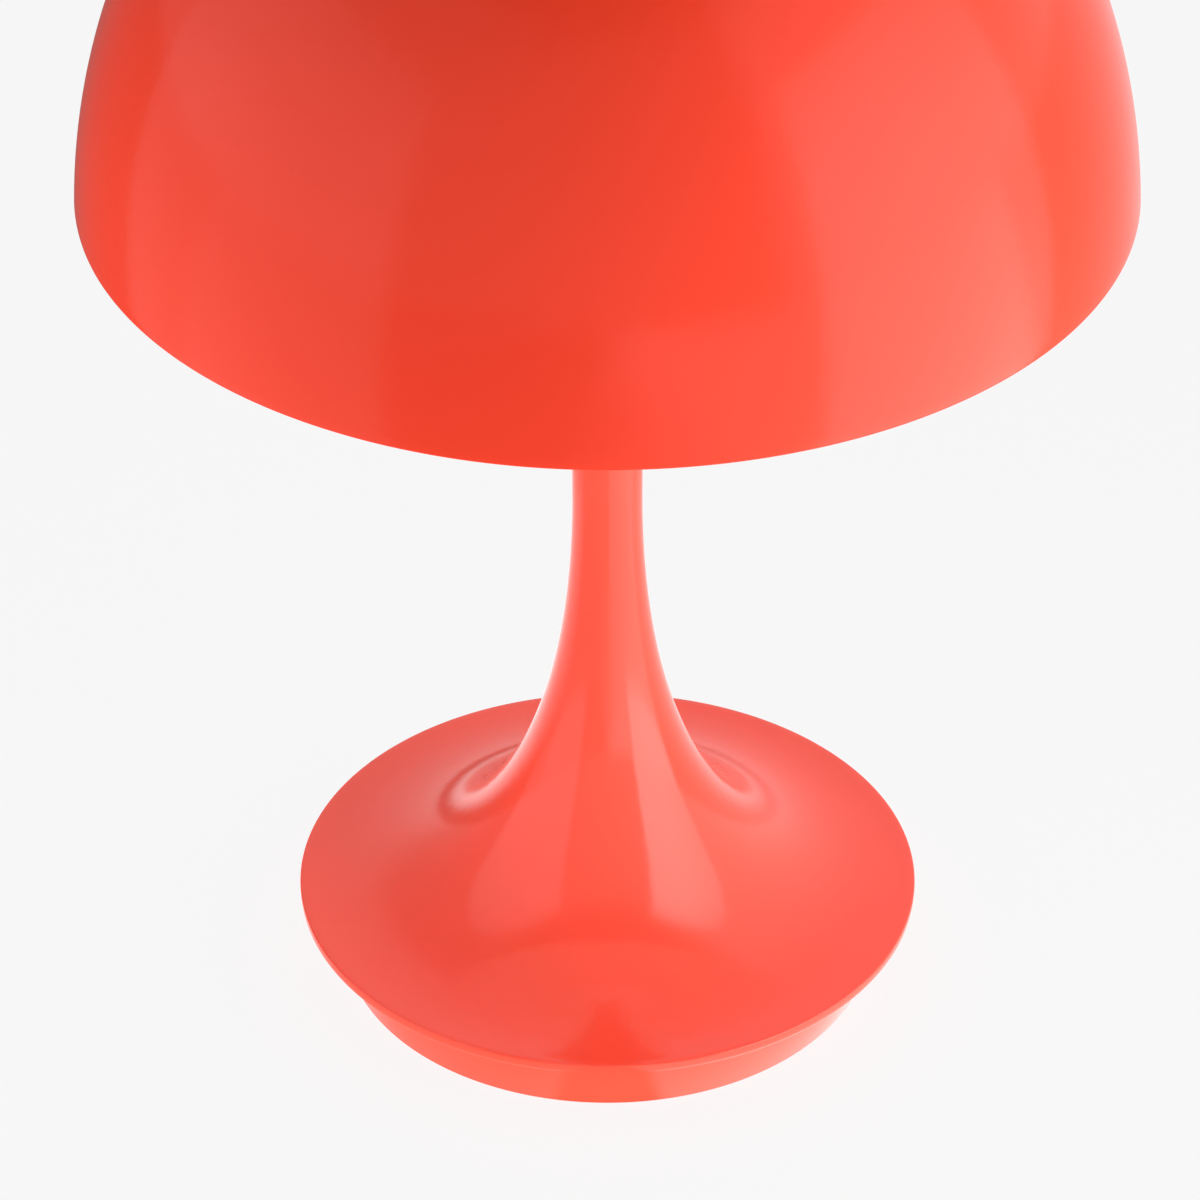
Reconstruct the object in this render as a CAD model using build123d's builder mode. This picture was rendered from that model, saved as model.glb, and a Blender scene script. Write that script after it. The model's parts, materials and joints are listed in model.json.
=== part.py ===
from build123d import *
import math
import os

# Portable table lamp with a mushroom shade, a thin stem and a trumpet foot on a low drum.
# Millimetres, +Z up, origin on the table under the stem, front towards -Y, rear towards +Y.

# Shade
shade_r = 80.0
shade_height = 85.6
shade_wall = 1.0
side_handle = 44.8          # how far the side rises before it turns over
side_lean = 2.8             # degrees that the side leans in at the rim
crown_handle = 46.2         # how far the crown stays flat
rim_round = 0.5
rim_round_share = 0.42      # most of the wall that each rounding may take

# Stem and trumpet foot
stem_r = 5.5
stem_top_z = 152.0
flare_top_z = 88.2
flare_down = 35.0
flare_in = 35.8
flare_upturn = 2.4          # degrees that the disc rises again towards its edge
foot_r = 50.2
foot_edge_z = 13.95
foot_edge_t = 2.0
foot_wall = 1.7
lip_round_top = 0.3
lip_round_bottom = 0.85
foot_land = 1.5             # width of the flat under the lip that rests on the drum
bend_share = 0.55           # handle length gained per millimetre of offset, as on a quarter circle

# Drum and its bottom cover
drum_top_r = 45.5
drum_wall = 2.0
drum_plate_t = 2.0
drum_plate_hole_r = 9.0
drum_edge_z = 0.5
cover_t = 2.5
cover_clearance = 0.15
cover_edge = 1.35           # from the foot pad out to the cover's edge
pad_t = 1.2
pad_outer_r = 39.6
pad_w = 10.0
pad_clearance = 0.1

# Ballast
ballast_r = 36.0
ballast_bore_r = 9.0
ballast_h = 12.0
ballast_gap = 0.5

# Screws: shank radius, head radius, head height, and length from the head's seat to the tip
cover_screw_in = 3.6        # the screws' circle inside the pad's outer edge, so that the pad hides them
cover_screw_angles = (30.0, 150.0, 210.0, 330.0)
cover_screw = {"shank_r": 1.15, "head_r": 2.3, "head_h": 1.2, "length": 7.0}
housing_screw_r = 26.0
housing_screw_count = 4
housing_screw_angle = 45.0
housing_screw = {"shank_r": 1.4, "head_r": 2.8, "head_h": 1.5, "length": 6.5}
ballast_screw_r = 15.0
ballast_screw_count = 3
ballast_screw = {"shank_r": 1.4, "head_r": 2.7, "head_h": 2.6, "length": 14.0}
board_screw = {"shank_r": 0.9, "head_r": 1.7, "head_h": 1.1, "length": 2.6}
led_screw = {"shank_r": 0.9, "head_r": 1.6, "head_h": 1.0, "length": 4.5}
screw_clearance = 0.15
thread_clearance = 0.05
boss_wall = 1.6
drive_share = 0.5           # the driver socket's radius and depth over the head's

# Battery, held between ribs on the cover
battery_side_gap = 3.4      # to the bosses of the cover's screws
battery_corner_gap = 1.8    # from its front corners to the drum's wall
battery_back_y = 3.0
battery_round = 1.6
foam_inset = 2.0
foam_t = 0.95
rib_t = 1.2
rib_h = 2.6
rib_length = 22.0
rib_gap = 0.3
lead_r = 0.65
lead_pitch = 2.0
lead_shift = 1.5

# Control board, hung under the drum's plate
board_t = 1.2
board_inset = 5.5           # the board's edge inside the drum's outside
board_front_y = 12.0
board_half_x = 25.0
board_screw_x = 21.0
board_screw_y = 26.0
header_x = 6.0
header_y = 4.5
header_h = 4.0
led_header_x = 2.0
led_header_y = 18.5
battery_header_x = -9.0
battery_header_y = 15.0
chip_size = 7.0
chip_h = 1.0
chip_y = 26.5
coil_size = 6.0
coil_h = 3.0
coil_y = 16.0
capacitor_r = 1.6
capacitor_h = 2.4
capacitor_x = 15.0
capacitor_pitch = 4.8
charge_light_x = 3.0
charge_light_y = 1.8
charge_light_h = 2.4

# Charging socket at the rear
usb_width = 8.94
usb_height = 3.16
usb_depth = 7.3
usb_shell_t = 0.3
usb_tongue_w = 6.7
usb_tongue_t = 0.7
usb_tongue_sunk = 0.5
usb_back_t = 1.5
usb_sunk = 0.4              # the mouth behind the floor of the lid's recess
usb_clearance = 0.15

# The socket's lid, which swings on an upright pin beside the socket
flap_height = 6.4
flap_t = 1.6
flap_left = 8.2             # from the socket's centre to the pin
flap_right = 7.4
flap_gap = 0.2
flap_pin_r = 0.5
flap_pin_clearance = 0.06
flap_pin_top = 0.8
flap_knuckle_r = 1.1
flap_knuckle_sunk = 0.2
flap_swing_room = 1.6
block_side = 1.4
block_reach = 3.0           # how far the port block runs past the lid's free end
board_gap = 0.4
nail_r = 2.2
nail_out = 1.0

# Push button at the rear, and the switch behind it
button_angle = 64.0
button_w = 10.0
button_h = 4.6
button_proud = 0.7
button_travel = 0.6
button_gap = 0.2
button_ear = 1.3            # how far each ear reaches past the button
button_ear_t = 1.0
button_ear_gap = 0.25
switch_depth = 4.0
switch_width = 6.0
switch_gap = 2.1            # from the switch to the button's ears
plunger_r = 1.1
plunger_gap = 0.1
plunger_inside = 0.5

# Light pipe of the charge light
pipe_angle = 111.0
pipe_r = 1.0
pipe_clearance = 0.05
pipe_length = 6.9

# Carrier tube that runs from the stem through the light head
tube_r = 3.0
tube_bore_r = 1.9
tube_engage = 15.0
tube_in_seat = 2.0          # how far it passes the seat's face, inside the spigot
slot_w = 3.0
slot_rise = 4.6             # above the cup's floor
slot_h = 6.0

# Head cup, which is the heat sink, and its nut
cup_hub_wall = 3.0
cup_hub_drop = 4.0
cup_r = 25.0
cup_brim_t = 1.0
cup_floor_t = 6.0
cup_lip_h = 4.0
cup_lip_t = 1.6
cup_sweep = 8.5             # handle of the sweep, upwards
cup_sweep_out = 2.0         # and outwards
head_nut_r = 5.6
head_nut_h = 3.0

# Light board
led_board_gap = 0.9         # to the gasket
led_bore_gap = 2.0          # round the head's nut
led_board_t = 1.6
led_count = 12
led_edge = 3.8              # from the chips' circle to the board's edge
led_x = 2.8
led_y = 3.5
led_t = 0.8
led_screw_in = 5.0          # the screws' circle inside the chips' circle
led_screw_count = 3
led_screw_angle = 60.0
led_socket_in = 5.4
led_socket_x = 4.0
led_socket_y = 5.0
led_socket_h = 2.6

# Opal diffuser
gasket_t = 1.0
gasket_w = 2.0
diffuser_gap = 0.3
diffuser_wall = 1.8
diffuser_rise = 39.0        # its top above the cup's floor
diffuser_round = 9.0
diffuser_hole_gap = 0.2
diffuser_nut_r = 6.5
diffuser_nut_h = 4.0
flute_count = 16
flute_r = 0.7

# Seat that the shade stands on, and the socket in the shade's crown
seat_rise = 17.0            # above the diffuser's top
seat_r = 9.5
seat_flange_t = 4.0
seat_hub_r = 5.5
seat_hub_h = 4.0
spigot_r = 5.0
spigot_h = 7.0
spigot_clearance = 0.08
spigot_chamfer = 1.0
magnet_in_r = 6.4
magnet_out_r = 8.4
magnet_t = 2.0
magnet_sunk = 0.2
magnet_clearance = 0.05
socket_r = 10.0
socket_h = 16.0             # from the seat's face to the top of the shade
socket_crown_r = 15.0
socket_neck_h = 6.0
socket_brim_h = 3.0
socket_glue = 0.1
socket_end_gap = 1.0

# Cable from the control board to the light board
cable_r = 1.0
cable_turn_y = 6.6
cable_rise = (1.6, 5.4, 22.0)
cable_stem_z = 62.0
cable_hop = 8.6             # above the cup's floor
cable_hop_bend = 4.0
bend_run_share = 0.45       # a bend takes this share of its shorter run

# Worked out from the sizes above: the drum and the foot
drum_bottom_r = pad_outer_r + cover_edge + cover_clearance + drum_wall
pad_inner_r = pad_outer_r - pad_w
cover_screw_r = pad_outer_r - cover_screw_in
drum_top_z = foot_edge_z - foot_edge_t
foot_land_r = drum_top_r - foot_land
plate_z = drum_top_z - drum_plate_t
cover_top_z = drum_edge_z + cover_t
ballast_top_z = drum_top_z + ballast_h
board_z = plate_z - board_t
port_z = board_z - usb_height / 2
header_z = board_z - header_h / 2

# The stack over the stem: cup, light board, diffuser, seat and shade
tube_bottom_z = stem_top_z - tube_engage
cup_hub_r = stem_r + cup_hub_wall
cup_floor_z = stem_top_z + cup_floor_t
slot_z = cup_floor_z + slot_rise
cable_hop_z = cup_floor_z + cable_hop
led_top_z = cup_floor_z + led_board_t
diffuser_r = cup_r - cup_lip_t - diffuser_gap
diffuser_z = cup_floor_z + gasket_t
diffuser_top_z = cup_floor_z + diffuser_rise
led_board_r = diffuser_r - gasket_w - led_board_gap
led_board_bore_r = head_nut_r + led_bore_gap
led_pitch_r = led_board_r - led_edge
led_screw_r = led_pitch_r - led_screw_in
led_socket_r = led_pitch_r - led_socket_in
seat_z = diffuser_top_z + seat_rise
seat_under_z = seat_z - seat_flange_t
seat_hub_z = seat_under_z - seat_hub_h
tube_top_z = seat_z + tube_in_seat
shade_top_z = seat_z + socket_h
shade_rim_z = shade_top_z - shade_height


def drum_radius(z):
    """Outside radius of the tapered drum at a height."""
    share = (z - drum_edge_z) / (drum_top_z - drum_edge_z)
    return drum_bottom_r + (drum_top_r - drum_bottom_r) * share


# The battery fills the room between the screws' bosses and the drum's front wall
boss_x = cover_screw_r * math.cos(math.radians(cover_screw_angles[0]))
battery_x = 2 * (boss_x - cover_screw["shank_r"] - boss_wall - battery_side_gap)
battery_corner_r = drum_radius(cover_top_z) - drum_wall - battery_corner_gap
battery_front_y = -math.sqrt(battery_corner_r**2 - (battery_x / 2) ** 2)
battery_y = battery_back_y - battery_front_y
battery_mid_y = battery_front_y + battery_y / 2
battery_z = cover_top_z + foam_t
battery_t = plate_z - battery_z

# The rear of the drum: the board's edge, the lid's recess, its pin and the button's inner stop
port_r = drum_radius(port_z)
board_r = port_r - board_inset
pipe_inner_r = port_r - pipe_length
recess_floor_y = port_r - flap_t - flap_gap
recess_z = port_z - flap_height / 2 - flap_gap
recess_h = flap_height + 2 * flap_gap
usb_mouth_y = recess_floor_y - usb_sunk
pin_y = math.sqrt(port_r**2 - flap_left**2) - flap_knuckle_r - flap_knuckle_sunk
recess_left = flap_left + flap_knuckle_r + flap_swing_room
knuckle_room = flap_knuckle_r + flap_gap
block_right = flap_right + block_reach
button_ear_w = button_w + 2 * button_ear
ear_reach = drum_radius(port_z - button_h / 2) - drum_wall
ear_outer_r = math.sqrt(ear_reach**2 - (button_ear_w / 2) ** 2) - button_ear_gap
ear_inner_r = ear_outer_r - button_ear_t
switch_front_r = ear_inner_r - switch_gap

UP = (Align.CENTER, Align.CENTER, Align.MIN)
DOWN = (Align.CENTER, Align.CENTER, Align.MAX)
FROM_FRONT = (Align.CENTER, Align.MIN, Align.CENTER)

os.makedirs("parts", exist_ok=True)


def radial_plane(angle, radius, z):
    """A plane that faces straight out of the drum, its local Y pointing up."""
    c, s = math.cos(math.radians(angle)), math.sin(math.radians(angle))
    return Plane(origin=(radius * c, radius * s, z), x_dir=(-s, c, 0), z_dir=(c, s, 0))


def flare_section(inset, top, bottom=0.0):
    """Half section under the trumpet's curve, moved inwards by inset, closed along the axis."""
    rise = math.radians(flare_upturn)
    run = flare_in + bend_share * inset
    edge_z = foot_edge_z - inset
    with BuildSketch(Plane.XZ) as section:
        with BuildLine():
            curve = Bezier(
                (stem_r - inset, flare_top_z),
                (stem_r - inset, flare_top_z - flare_down - bend_share * inset),
                (foot_r - run * math.cos(rise), edge_z - run * math.sin(rise)),
                (foot_r, edge_z),
            )
            Polyline(curve @ 1, (foot_r, bottom), (0, bottom), (0, top), (stem_r - inset, top), curve @ 0)
        make_face()
    return section.sketch


def dome_section(inset):
    """Half section under the shade's curve, moved inwards by inset, closed at the rim and the axis."""
    lean = math.radians(side_lean)
    rise = side_handle - bend_share * inset
    rim, top = shade_r - inset, shade_top_z - inset
    with BuildSketch(Plane.XZ) as section:
        with BuildLine():
            curve = Bezier(
                (rim, shade_rim_z),
                (rim - rise * math.sin(lean), shade_rim_z + rise * math.cos(lean)),
                (crown_handle - bend_share * inset, top),
                (0, top),
            )
            Polyline(curve @ 1, (0, shade_rim_z), curve @ 0)
        make_face()
    return section.sketch


def drum_section(grow, low, high):
    """Half section inside the drum's taper, its side moved out by grow."""
    with BuildSketch(Plane.XZ) as section:
        with BuildLine():
            Polyline(
                (0, low), (drum_radius(low) + grow, low), (drum_radius(high) + grow, high), (0, high),
                close=True,
            )
        make_face()
    return section.sketch


def cap_section(radius, low, high, corner):
    """Half section of an upright cylinder whose top edge is rounded."""
    with BuildSketch(Plane.XZ) as section:
        with Locations((0, low)):
            Rectangle(radius, high - low, align=(Align.MIN, Align.MIN))
        fillet(section.vertices().sort_by(Axis.X)[-2:].sort_by(Axis.Y)[-1], corner)
    return section.sketch


def ring(outer, inner, height, align=UP):
    """A flat ring at the current location."""
    Cylinder(outer, height, align=align)
    Cylinder(inner, height, align=align, mode=Mode.SUBTRACT)


def countersunk_screw(size):
    """A flat-head screw that points up, the face of its head at the current location."""
    Cone(size["head_r"], size["shank_r"], size["head_h"], align=UP)
    Cylinder(size["shank_r"], size["length"], align=UP)
    Cylinder(size["head_r"] * drive_share, size["head_h"] * drive_share, align=UP, mode=Mode.SUBTRACT)


def countersunk_hole(size, depth):
    """The clearance hole and countersink of a flat-head screw that points up."""
    gap = screw_clearance
    Cone(size["head_r"] + gap, size["shank_r"] + gap, size["head_h"], align=UP, mode=Mode.SUBTRACT)
    Cylinder(size["shank_r"] + gap, depth, align=UP, mode=Mode.SUBTRACT)


def round_head_screw(size, head, shank):
    """A screw whose head and shank meet at the current location, head and shank being alignments."""
    Cylinder(size["head_r"], size["head_h"], align=head)
    Cylinder(size["shank_r"], size["length"], align=shank)
    drive_end = size["head_h"] if head == UP else -size["head_h"]
    with Locations((0, 0, drive_end)):
        Cylinder(
            size["head_r"] * drive_share, size["head_h"] * drive_share, align=shank, mode=Mode.SUBTRACT
        )


def around(radius, angles, z):
    """Points at a height on a circle, one at each angle."""
    return [(radius * math.cos(math.radians(a)), radius * math.sin(math.radians(a)), z) for a in angles]


def bend_radii(points):
    """A radius for each corner of a route, as large as its two runs allow."""
    spots = [Vector(*p) for p in points]
    runs = [b - a for a, b in zip(spots, spots[1:])]
    radii = []
    for before, after in zip(runs, runs[1:]):
        half_turn = math.radians(before.get_angle(after) / 2)
        shorter = min(before.length, after.length)
        radii.append(bend_run_share * shorter / math.tan(half_turn))
    return radii


# Shade shell, spun from sheet
with BuildPart() as shade_shell:
    revolve(dome_section(0), axis=Axis.Z)
    revolve(dome_section(shade_wall), axis=Axis.Z, mode=Mode.SUBTRACT)
    rim_edges = shade_shell.edges().filter_by(GeomType.CIRCLE).group_by(Axis.Z)[0]
    fillet(rim_edges, min(rim_round, shade_wall * rim_round_share))
shade_shell.part.label = "shade_shell"
export_step(shade_shell.part, "parts/shade_shell.step")

# Socket bonded inside the crown, which drops over the seat's spigot
with BuildPart() as shade_socket:
    revolve(dome_section(shade_wall + socket_glue), axis=Axis.Z)
    with BuildSketch(Plane.XZ) as socket_section:
        with BuildLine():
            Polyline(
                (0, seat_z), (socket_r, seat_z), (socket_r, seat_z + socket_neck_h),
                (socket_crown_r, shade_top_z - socket_brim_h), (socket_crown_r, shade_top_z),
                (0, shade_top_z), close=True,
            )
        make_face()
    revolve(axis=Axis.Z, mode=Mode.INTERSECT)
    with Locations((0, 0, seat_z)):
        Cylinder(spigot_r + spigot_clearance, spigot_h + socket_end_gap, align=UP, mode=Mode.SUBTRACT)
    with BuildSketch(Plane.XY.offset(seat_z)):
        Circle(magnet_out_r + magnet_clearance)
        Circle(magnet_in_r - magnet_clearance, mode=Mode.SUBTRACT)
    extrude(amount=magnet_t + magnet_sunk, mode=Mode.SUBTRACT)
shade_socket.part.label = "shade_socket"
export_step(shade_socket.part, "parts/shade_socket.step")

with BuildPart() as shade_magnet:
    with Locations((0, 0, seat_z + magnet_sunk)):
        ring(magnet_out_r, magnet_in_r, magnet_t)
shade_magnet.part.label = "shade_magnet"
export_step(shade_magnet.part, "parts/shade_magnet.step")

# Seat on top of the tube: a flange with a spigot, and a ring magnet let into the flange
with BuildPart() as shade_seat:
    with Locations((0, 0, seat_hub_z)):
        Cylinder(seat_hub_r, seat_hub_h, align=UP)
    with Locations((0, 0, seat_under_z)):
        Cylinder(seat_r, seat_flange_t, align=UP)
    with Locations((0, 0, seat_z)):
        Cylinder(spigot_r, spigot_h, align=UP)
    chamfer(shade_seat.edges().filter_by(GeomType.CIRCLE).group_by(Axis.Z)[-1], spigot_chamfer)
    with Locations((0, 0, seat_hub_z)):
        Cylinder(tube_r + thread_clearance, tube_top_z - seat_hub_z, align=UP, mode=Mode.SUBTRACT)
    with BuildSketch(Plane.XY.offset(seat_z)):
        Circle(magnet_out_r + magnet_clearance)
        Circle(magnet_in_r - magnet_clearance, mode=Mode.SUBTRACT)
    extrude(amount=-(magnet_t + magnet_sunk), mode=Mode.SUBTRACT)
shade_seat.part.label = "shade_seat"
export_step(shade_seat.part, "parts/shade_seat.step")

with BuildPart() as seat_magnet:
    with Locations((0, 0, seat_z - magnet_sunk)):
        ring(magnet_out_r, magnet_in_r, magnet_t, align=DOWN)
seat_magnet.part.label = "seat_magnet"
export_step(seat_magnet.part, "parts/seat_magnet.step")

# The hollow inside the stem and foot, less the bosses for the ballast's screws
with BuildPart() as foot_hollow:
    revolve(flare_section(foot_wall, tube_bottom_z), axis=Axis.Z)
    with Locations((0, 0, drum_top_z)):
        Cylinder(foot_land_r, stem_top_z, align=UP, mode=Mode.INTERSECT)
    with Locations((0, 0, ballast_top_z)):
        with PolarLocations(ballast_screw_r, ballast_screw_count):
            Cylinder(ballast_screw["shank_r"] + boss_wall, stem_top_z, align=UP, mode=Mode.SUBTRACT)

# Stem and foot, one hollow piece
with BuildPart() as stem_and_foot:
    revolve(flare_section(0, stem_top_z, drum_top_z), axis=Axis.Z)
    lip_edges = stem_and_foot.edges().filter_by(GeomType.CIRCLE).group_by(SortBy.RADIUS)[-1].sort_by(Axis.Z)
    fillet(lip_edges[-1], lip_round_top)
    fillet(stem_and_foot.edges().filter_by(GeomType.CIRCLE).sort_by(Axis.Z)[0], lip_round_bottom)
    add(foot_hollow.part, mode=Mode.SUBTRACT)
    with Locations((0, 0, tube_bottom_z)):
        Cylinder(tube_r + thread_clearance, tube_engage, align=UP, mode=Mode.SUBTRACT)
    with Locations((0, 0, ballast_top_z)):
        with PolarLocations(ballast_screw_r, ballast_screw_count):
            Cylinder(
                ballast_screw["shank_r"] + thread_clearance,
                ballast_screw["length"] + ballast_screw["head_h"] + drum_top_z - ballast_top_z,
                align=UP, mode=Mode.SUBTRACT,
            )
stem_and_foot.part.label = "stem_and_foot"
export_step(stem_and_foot.part, "parts/stem_and_foot.step")

# Ballast that fills the flare, screwed up into the foot's bosses
with BuildPart() as ballast_weight:
    revolve(flare_section(foot_wall + ballast_gap, stem_top_z), axis=Axis.Z)
    with Locations((0, 0, drum_top_z)):
        Cylinder(ballast_r, ballast_top_z - drum_top_z, align=UP, mode=Mode.INTERSECT)
        Cylinder(ballast_bore_r, ballast_top_z, align=UP, mode=Mode.SUBTRACT)
        with PolarLocations(ballast_screw_r, ballast_screw_count):
            Cylinder(
                ballast_screw["head_r"] + screw_clearance, ballast_screw["head_h"],
                align=UP, mode=Mode.SUBTRACT,
            )
            Cylinder(
                ballast_screw["shank_r"] + screw_clearance, ballast_top_z, align=UP, mode=Mode.SUBTRACT
            )
        with PolarLocations(housing_screw_r, housing_screw_count, housing_screw_angle):
            Cylinder(
                housing_screw["shank_r"] + thread_clearance, housing_screw["length"] - drum_plate_t,
                align=UP, mode=Mode.SUBTRACT,
            )
ballast_weight.part.label = "ballast_weight"
export_step(ballast_weight.part, "parts/ballast_weight.step")

with BuildPart() as ballast_screws:
    with Locations((0, 0, drum_top_z + ballast_screw["head_h"])):
        with PolarLocations(ballast_screw_r, ballast_screw_count):
            round_head_screw(ballast_screw, DOWN, UP)
ballast_screws.part.label = "ballast_screws"
export_step(ballast_screws.part, "parts/ballast_screws.step")

# Drum housing: tapered wall, top plate, bosses, port block, and the openings at the rear
with BuildPart() as drum_housing:
    revolve(drum_section(0, drum_edge_z, drum_top_z), axis=Axis.Z)
    revolve(drum_section(-drum_wall, drum_edge_z, plate_z), axis=Axis.Z, mode=Mode.SUBTRACT)
    with Locations((-recess_left - block_side, board_r + board_gap, cover_top_z)):
        Box(
            recess_left + block_side + block_right, recess_floor_y - board_r - board_gap,
            plate_z - cover_top_z, align=(Align.MIN, Align.MIN, Align.MIN),
        )
    with Locations(around(cover_screw_r, cover_screw_angles, plate_z)):
        Cylinder(cover_screw["shank_r"] + boss_wall, plate_z - cover_top_z, align=DOWN)
    with Locations(around(cover_screw_r, cover_screw_angles, cover_top_z)):
        Cylinder(
            cover_screw["shank_r"] + thread_clearance, cover_screw["length"] + pad_t - cover_top_z,
            align=UP, mode=Mode.SUBTRACT,
        )
    with Locations((0, 0, plate_z)):
        Cylinder(drum_plate_hole_r, drum_plate_t, align=UP, mode=Mode.SUBTRACT)
        with PolarLocations(housing_screw_r, housing_screw_count, housing_screw_angle):
            countersunk_hole(housing_screw, drum_plate_t)
        with Locations((board_screw_x, board_screw_y), (-board_screw_x, board_screw_y)):
            Cylinder(
                board_screw["shank_r"] + thread_clearance, board_screw["length"] - board_t,
                align=UP, mode=Mode.SUBTRACT,
            )
    # Recess for the lid, the deeper channel for its knuckle, and the pin's hole from below
    with Locations((-recess_left, recess_floor_y, recess_z)):
        Box(
            recess_left + flap_right + flap_gap, drum_top_r, recess_h,
            align=(Align.MIN, Align.MIN, Align.MIN), mode=Mode.SUBTRACT,
        )
    with Locations((-recess_left, pin_y - knuckle_room, recess_z)):
        Box(
            recess_left - flap_left + knuckle_room, drum_top_r, recess_h,
            align=(Align.MIN, Align.MIN, Align.MIN), mode=Mode.SUBTRACT,
        )
    with Locations((-flap_left, pin_y, cover_top_z)):
        Cylinder(
            flap_pin_r + thread_clearance, recess_z + recess_h + flap_pin_top - cover_top_z,
            align=UP, mode=Mode.SUBTRACT,
        )
    with Locations((flap_right + flap_gap, math.sqrt(port_r**2 - flap_right**2) + nail_out, port_z)):
        Sphere(nail_r, mode=Mode.SUBTRACT)
    # Hole for the charging socket
    with Locations((0, usb_mouth_y - usb_depth, port_z)):
        Box(
            usb_width + 2 * usb_clearance, usb_depth + drum_wall, usb_height + 2 * usb_clearance,
            align=FROM_FRONT, mode=Mode.SUBTRACT,
        )
    # Slot for the button and hole for the light pipe
    with BuildSketch(radial_plane(button_angle, ear_inner_r, port_z)):
        SlotOverall(button_w + 2 * button_gap, button_h + 2 * button_gap)
    extrude(amount=drum_top_r, mode=Mode.SUBTRACT)
    with BuildSketch(radial_plane(pipe_angle, pipe_inner_r, port_z)):
        Circle(pipe_r + pipe_clearance)
    extrude(amount=drum_top_r, mode=Mode.SUBTRACT)
drum_housing.part.label = "drum_housing"
export_step(drum_housing.part, "parts/drum_housing.step")

with BuildPart() as housing_screws:
    with Locations((0, 0, plate_z)):
        with PolarLocations(housing_screw_r, housing_screw_count, housing_screw_angle):
            countersunk_screw(housing_screw)
housing_screws.part.label = "housing_screws"
export_step(housing_screws.part, "parts/housing_screws.step")

# Bottom cover: a plate with a groove for the foot pad, screw holes, and ribs round the battery
with BuildPart() as bottom_cover:
    with Locations((0, 0, drum_edge_z)):
        Cylinder(drum_bottom_r - drum_wall - cover_clearance, cover_t, align=UP)
    with BuildSketch(Plane.XY.offset(drum_edge_z)):
        Circle(pad_outer_r + pad_clearance)
        Circle(pad_inner_r - pad_clearance, mode=Mode.SUBTRACT)
    extrude(amount=pad_t - drum_edge_z, mode=Mode.SUBTRACT)
    with Locations(around(cover_screw_r, cover_screw_angles, pad_t)):
        countersunk_hole(cover_screw, cover_t)
    rib_x = battery_x / 2 + rib_gap + rib_t / 2
    rib_y = battery_y / 2 + rib_gap + rib_t / 2
    with Locations((rib_x, battery_mid_y, cover_top_z), (-rib_x, battery_mid_y, cover_top_z)):
        Box(rib_t, rib_length, rib_h, align=UP)
    with Locations((0, battery_mid_y + rib_y, cover_top_z), (0, battery_mid_y - rib_y, cover_top_z)):
        Box(rib_length, rib_t, rib_h, align=UP)
bottom_cover.part.label = "bottom_cover"
export_step(bottom_cover.part, "parts/bottom_cover.step")

with BuildPart() as cover_screws:
    with Locations(around(cover_screw_r, cover_screw_angles, pad_t)):
        countersunk_screw(cover_screw)
cover_screws.part.label = "cover_screws"
export_step(cover_screws.part, "parts/cover_screws.step")

with BuildPart() as foot_pad:
    ring(pad_outer_r, pad_inner_r, pad_t)
foot_pad.part.label = "foot_pad"
export_step(foot_pad.part, "parts/foot_pad.step")

# Battery: a flat pouch cell on a foam pad, and its two leads
with BuildPart() as battery_cell:
    with Locations((0, battery_mid_y, battery_z)):
        Box(battery_x, battery_y, battery_t, align=UP)
    fillet(battery_cell.edges().filter_by(Axis.X), battery_round)
battery_cell.part.label = "battery_cell"
export_step(battery_cell.part, "parts/battery_cell.step")

with BuildPart() as battery_foam:
    with Locations((0, battery_mid_y, cover_top_z)):
        Box(
            battery_x - 2 * foam_inset, battery_y - 2 * foam_inset, battery_z - cover_top_z, align=UP
        )
battery_foam.part.label = "battery_foam"
export_step(battery_foam.part, "parts/battery_foam.step")

lead_end_y = battery_header_y - header_y / 2
lead_run = (lead_end_y - battery_back_y) / 3
with BuildPart() as battery_leads:
    for side in (-1, 1):
        x = battery_header_x + side * lead_pitch / 2
        route = [
            (x + lead_shift, battery_back_y, header_z),
            (x + lead_shift, battery_back_y + lead_run, header_z),
            (x, battery_back_y + 2 * lead_run, header_z),
            (x, lead_end_y, header_z),
        ]
        with BuildLine() as lead_path:
            FilletPolyline(*route, radius=bend_radii(route))
        with BuildSketch(Plane(origin=route[0], z_dir=(0, 1, 0))):
            Circle(lead_r)
        sweep(path=lead_path.line)
battery_leads.part.label = "battery_leads"
export_step(battery_leads.part, "parts/battery_leads.step")

# Control board and what is soldered under it
with BuildPart() as control_board:
    with Locations((0, 0, board_z)):
        Cylinder(board_r, board_t, align=UP)
    with Locations((0, board_front_y, board_z)):
        Box(
            2 * board_half_x, board_r, board_t,
            align=(Align.CENTER, Align.MIN, Align.MIN), mode=Mode.INTERSECT,
        )
    with Locations((board_screw_x, board_screw_y, board_z), (-board_screw_x, board_screw_y, board_z)):
        Cylinder(board_screw["shank_r"] + screw_clearance, board_t, align=UP, mode=Mode.SUBTRACT)
control_board.part.label = "control_board"
export_step(control_board.part, "parts/control_board.step")

with BuildPart() as board_headers:
    with Locations((led_header_x, led_header_y, board_z), (battery_header_x, battery_header_y, board_z)):
        Box(header_x, header_y, header_h, align=DOWN)
board_headers.part.label = "board_headers"
export_step(board_headers.part, "parts/board_headers.step")

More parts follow.
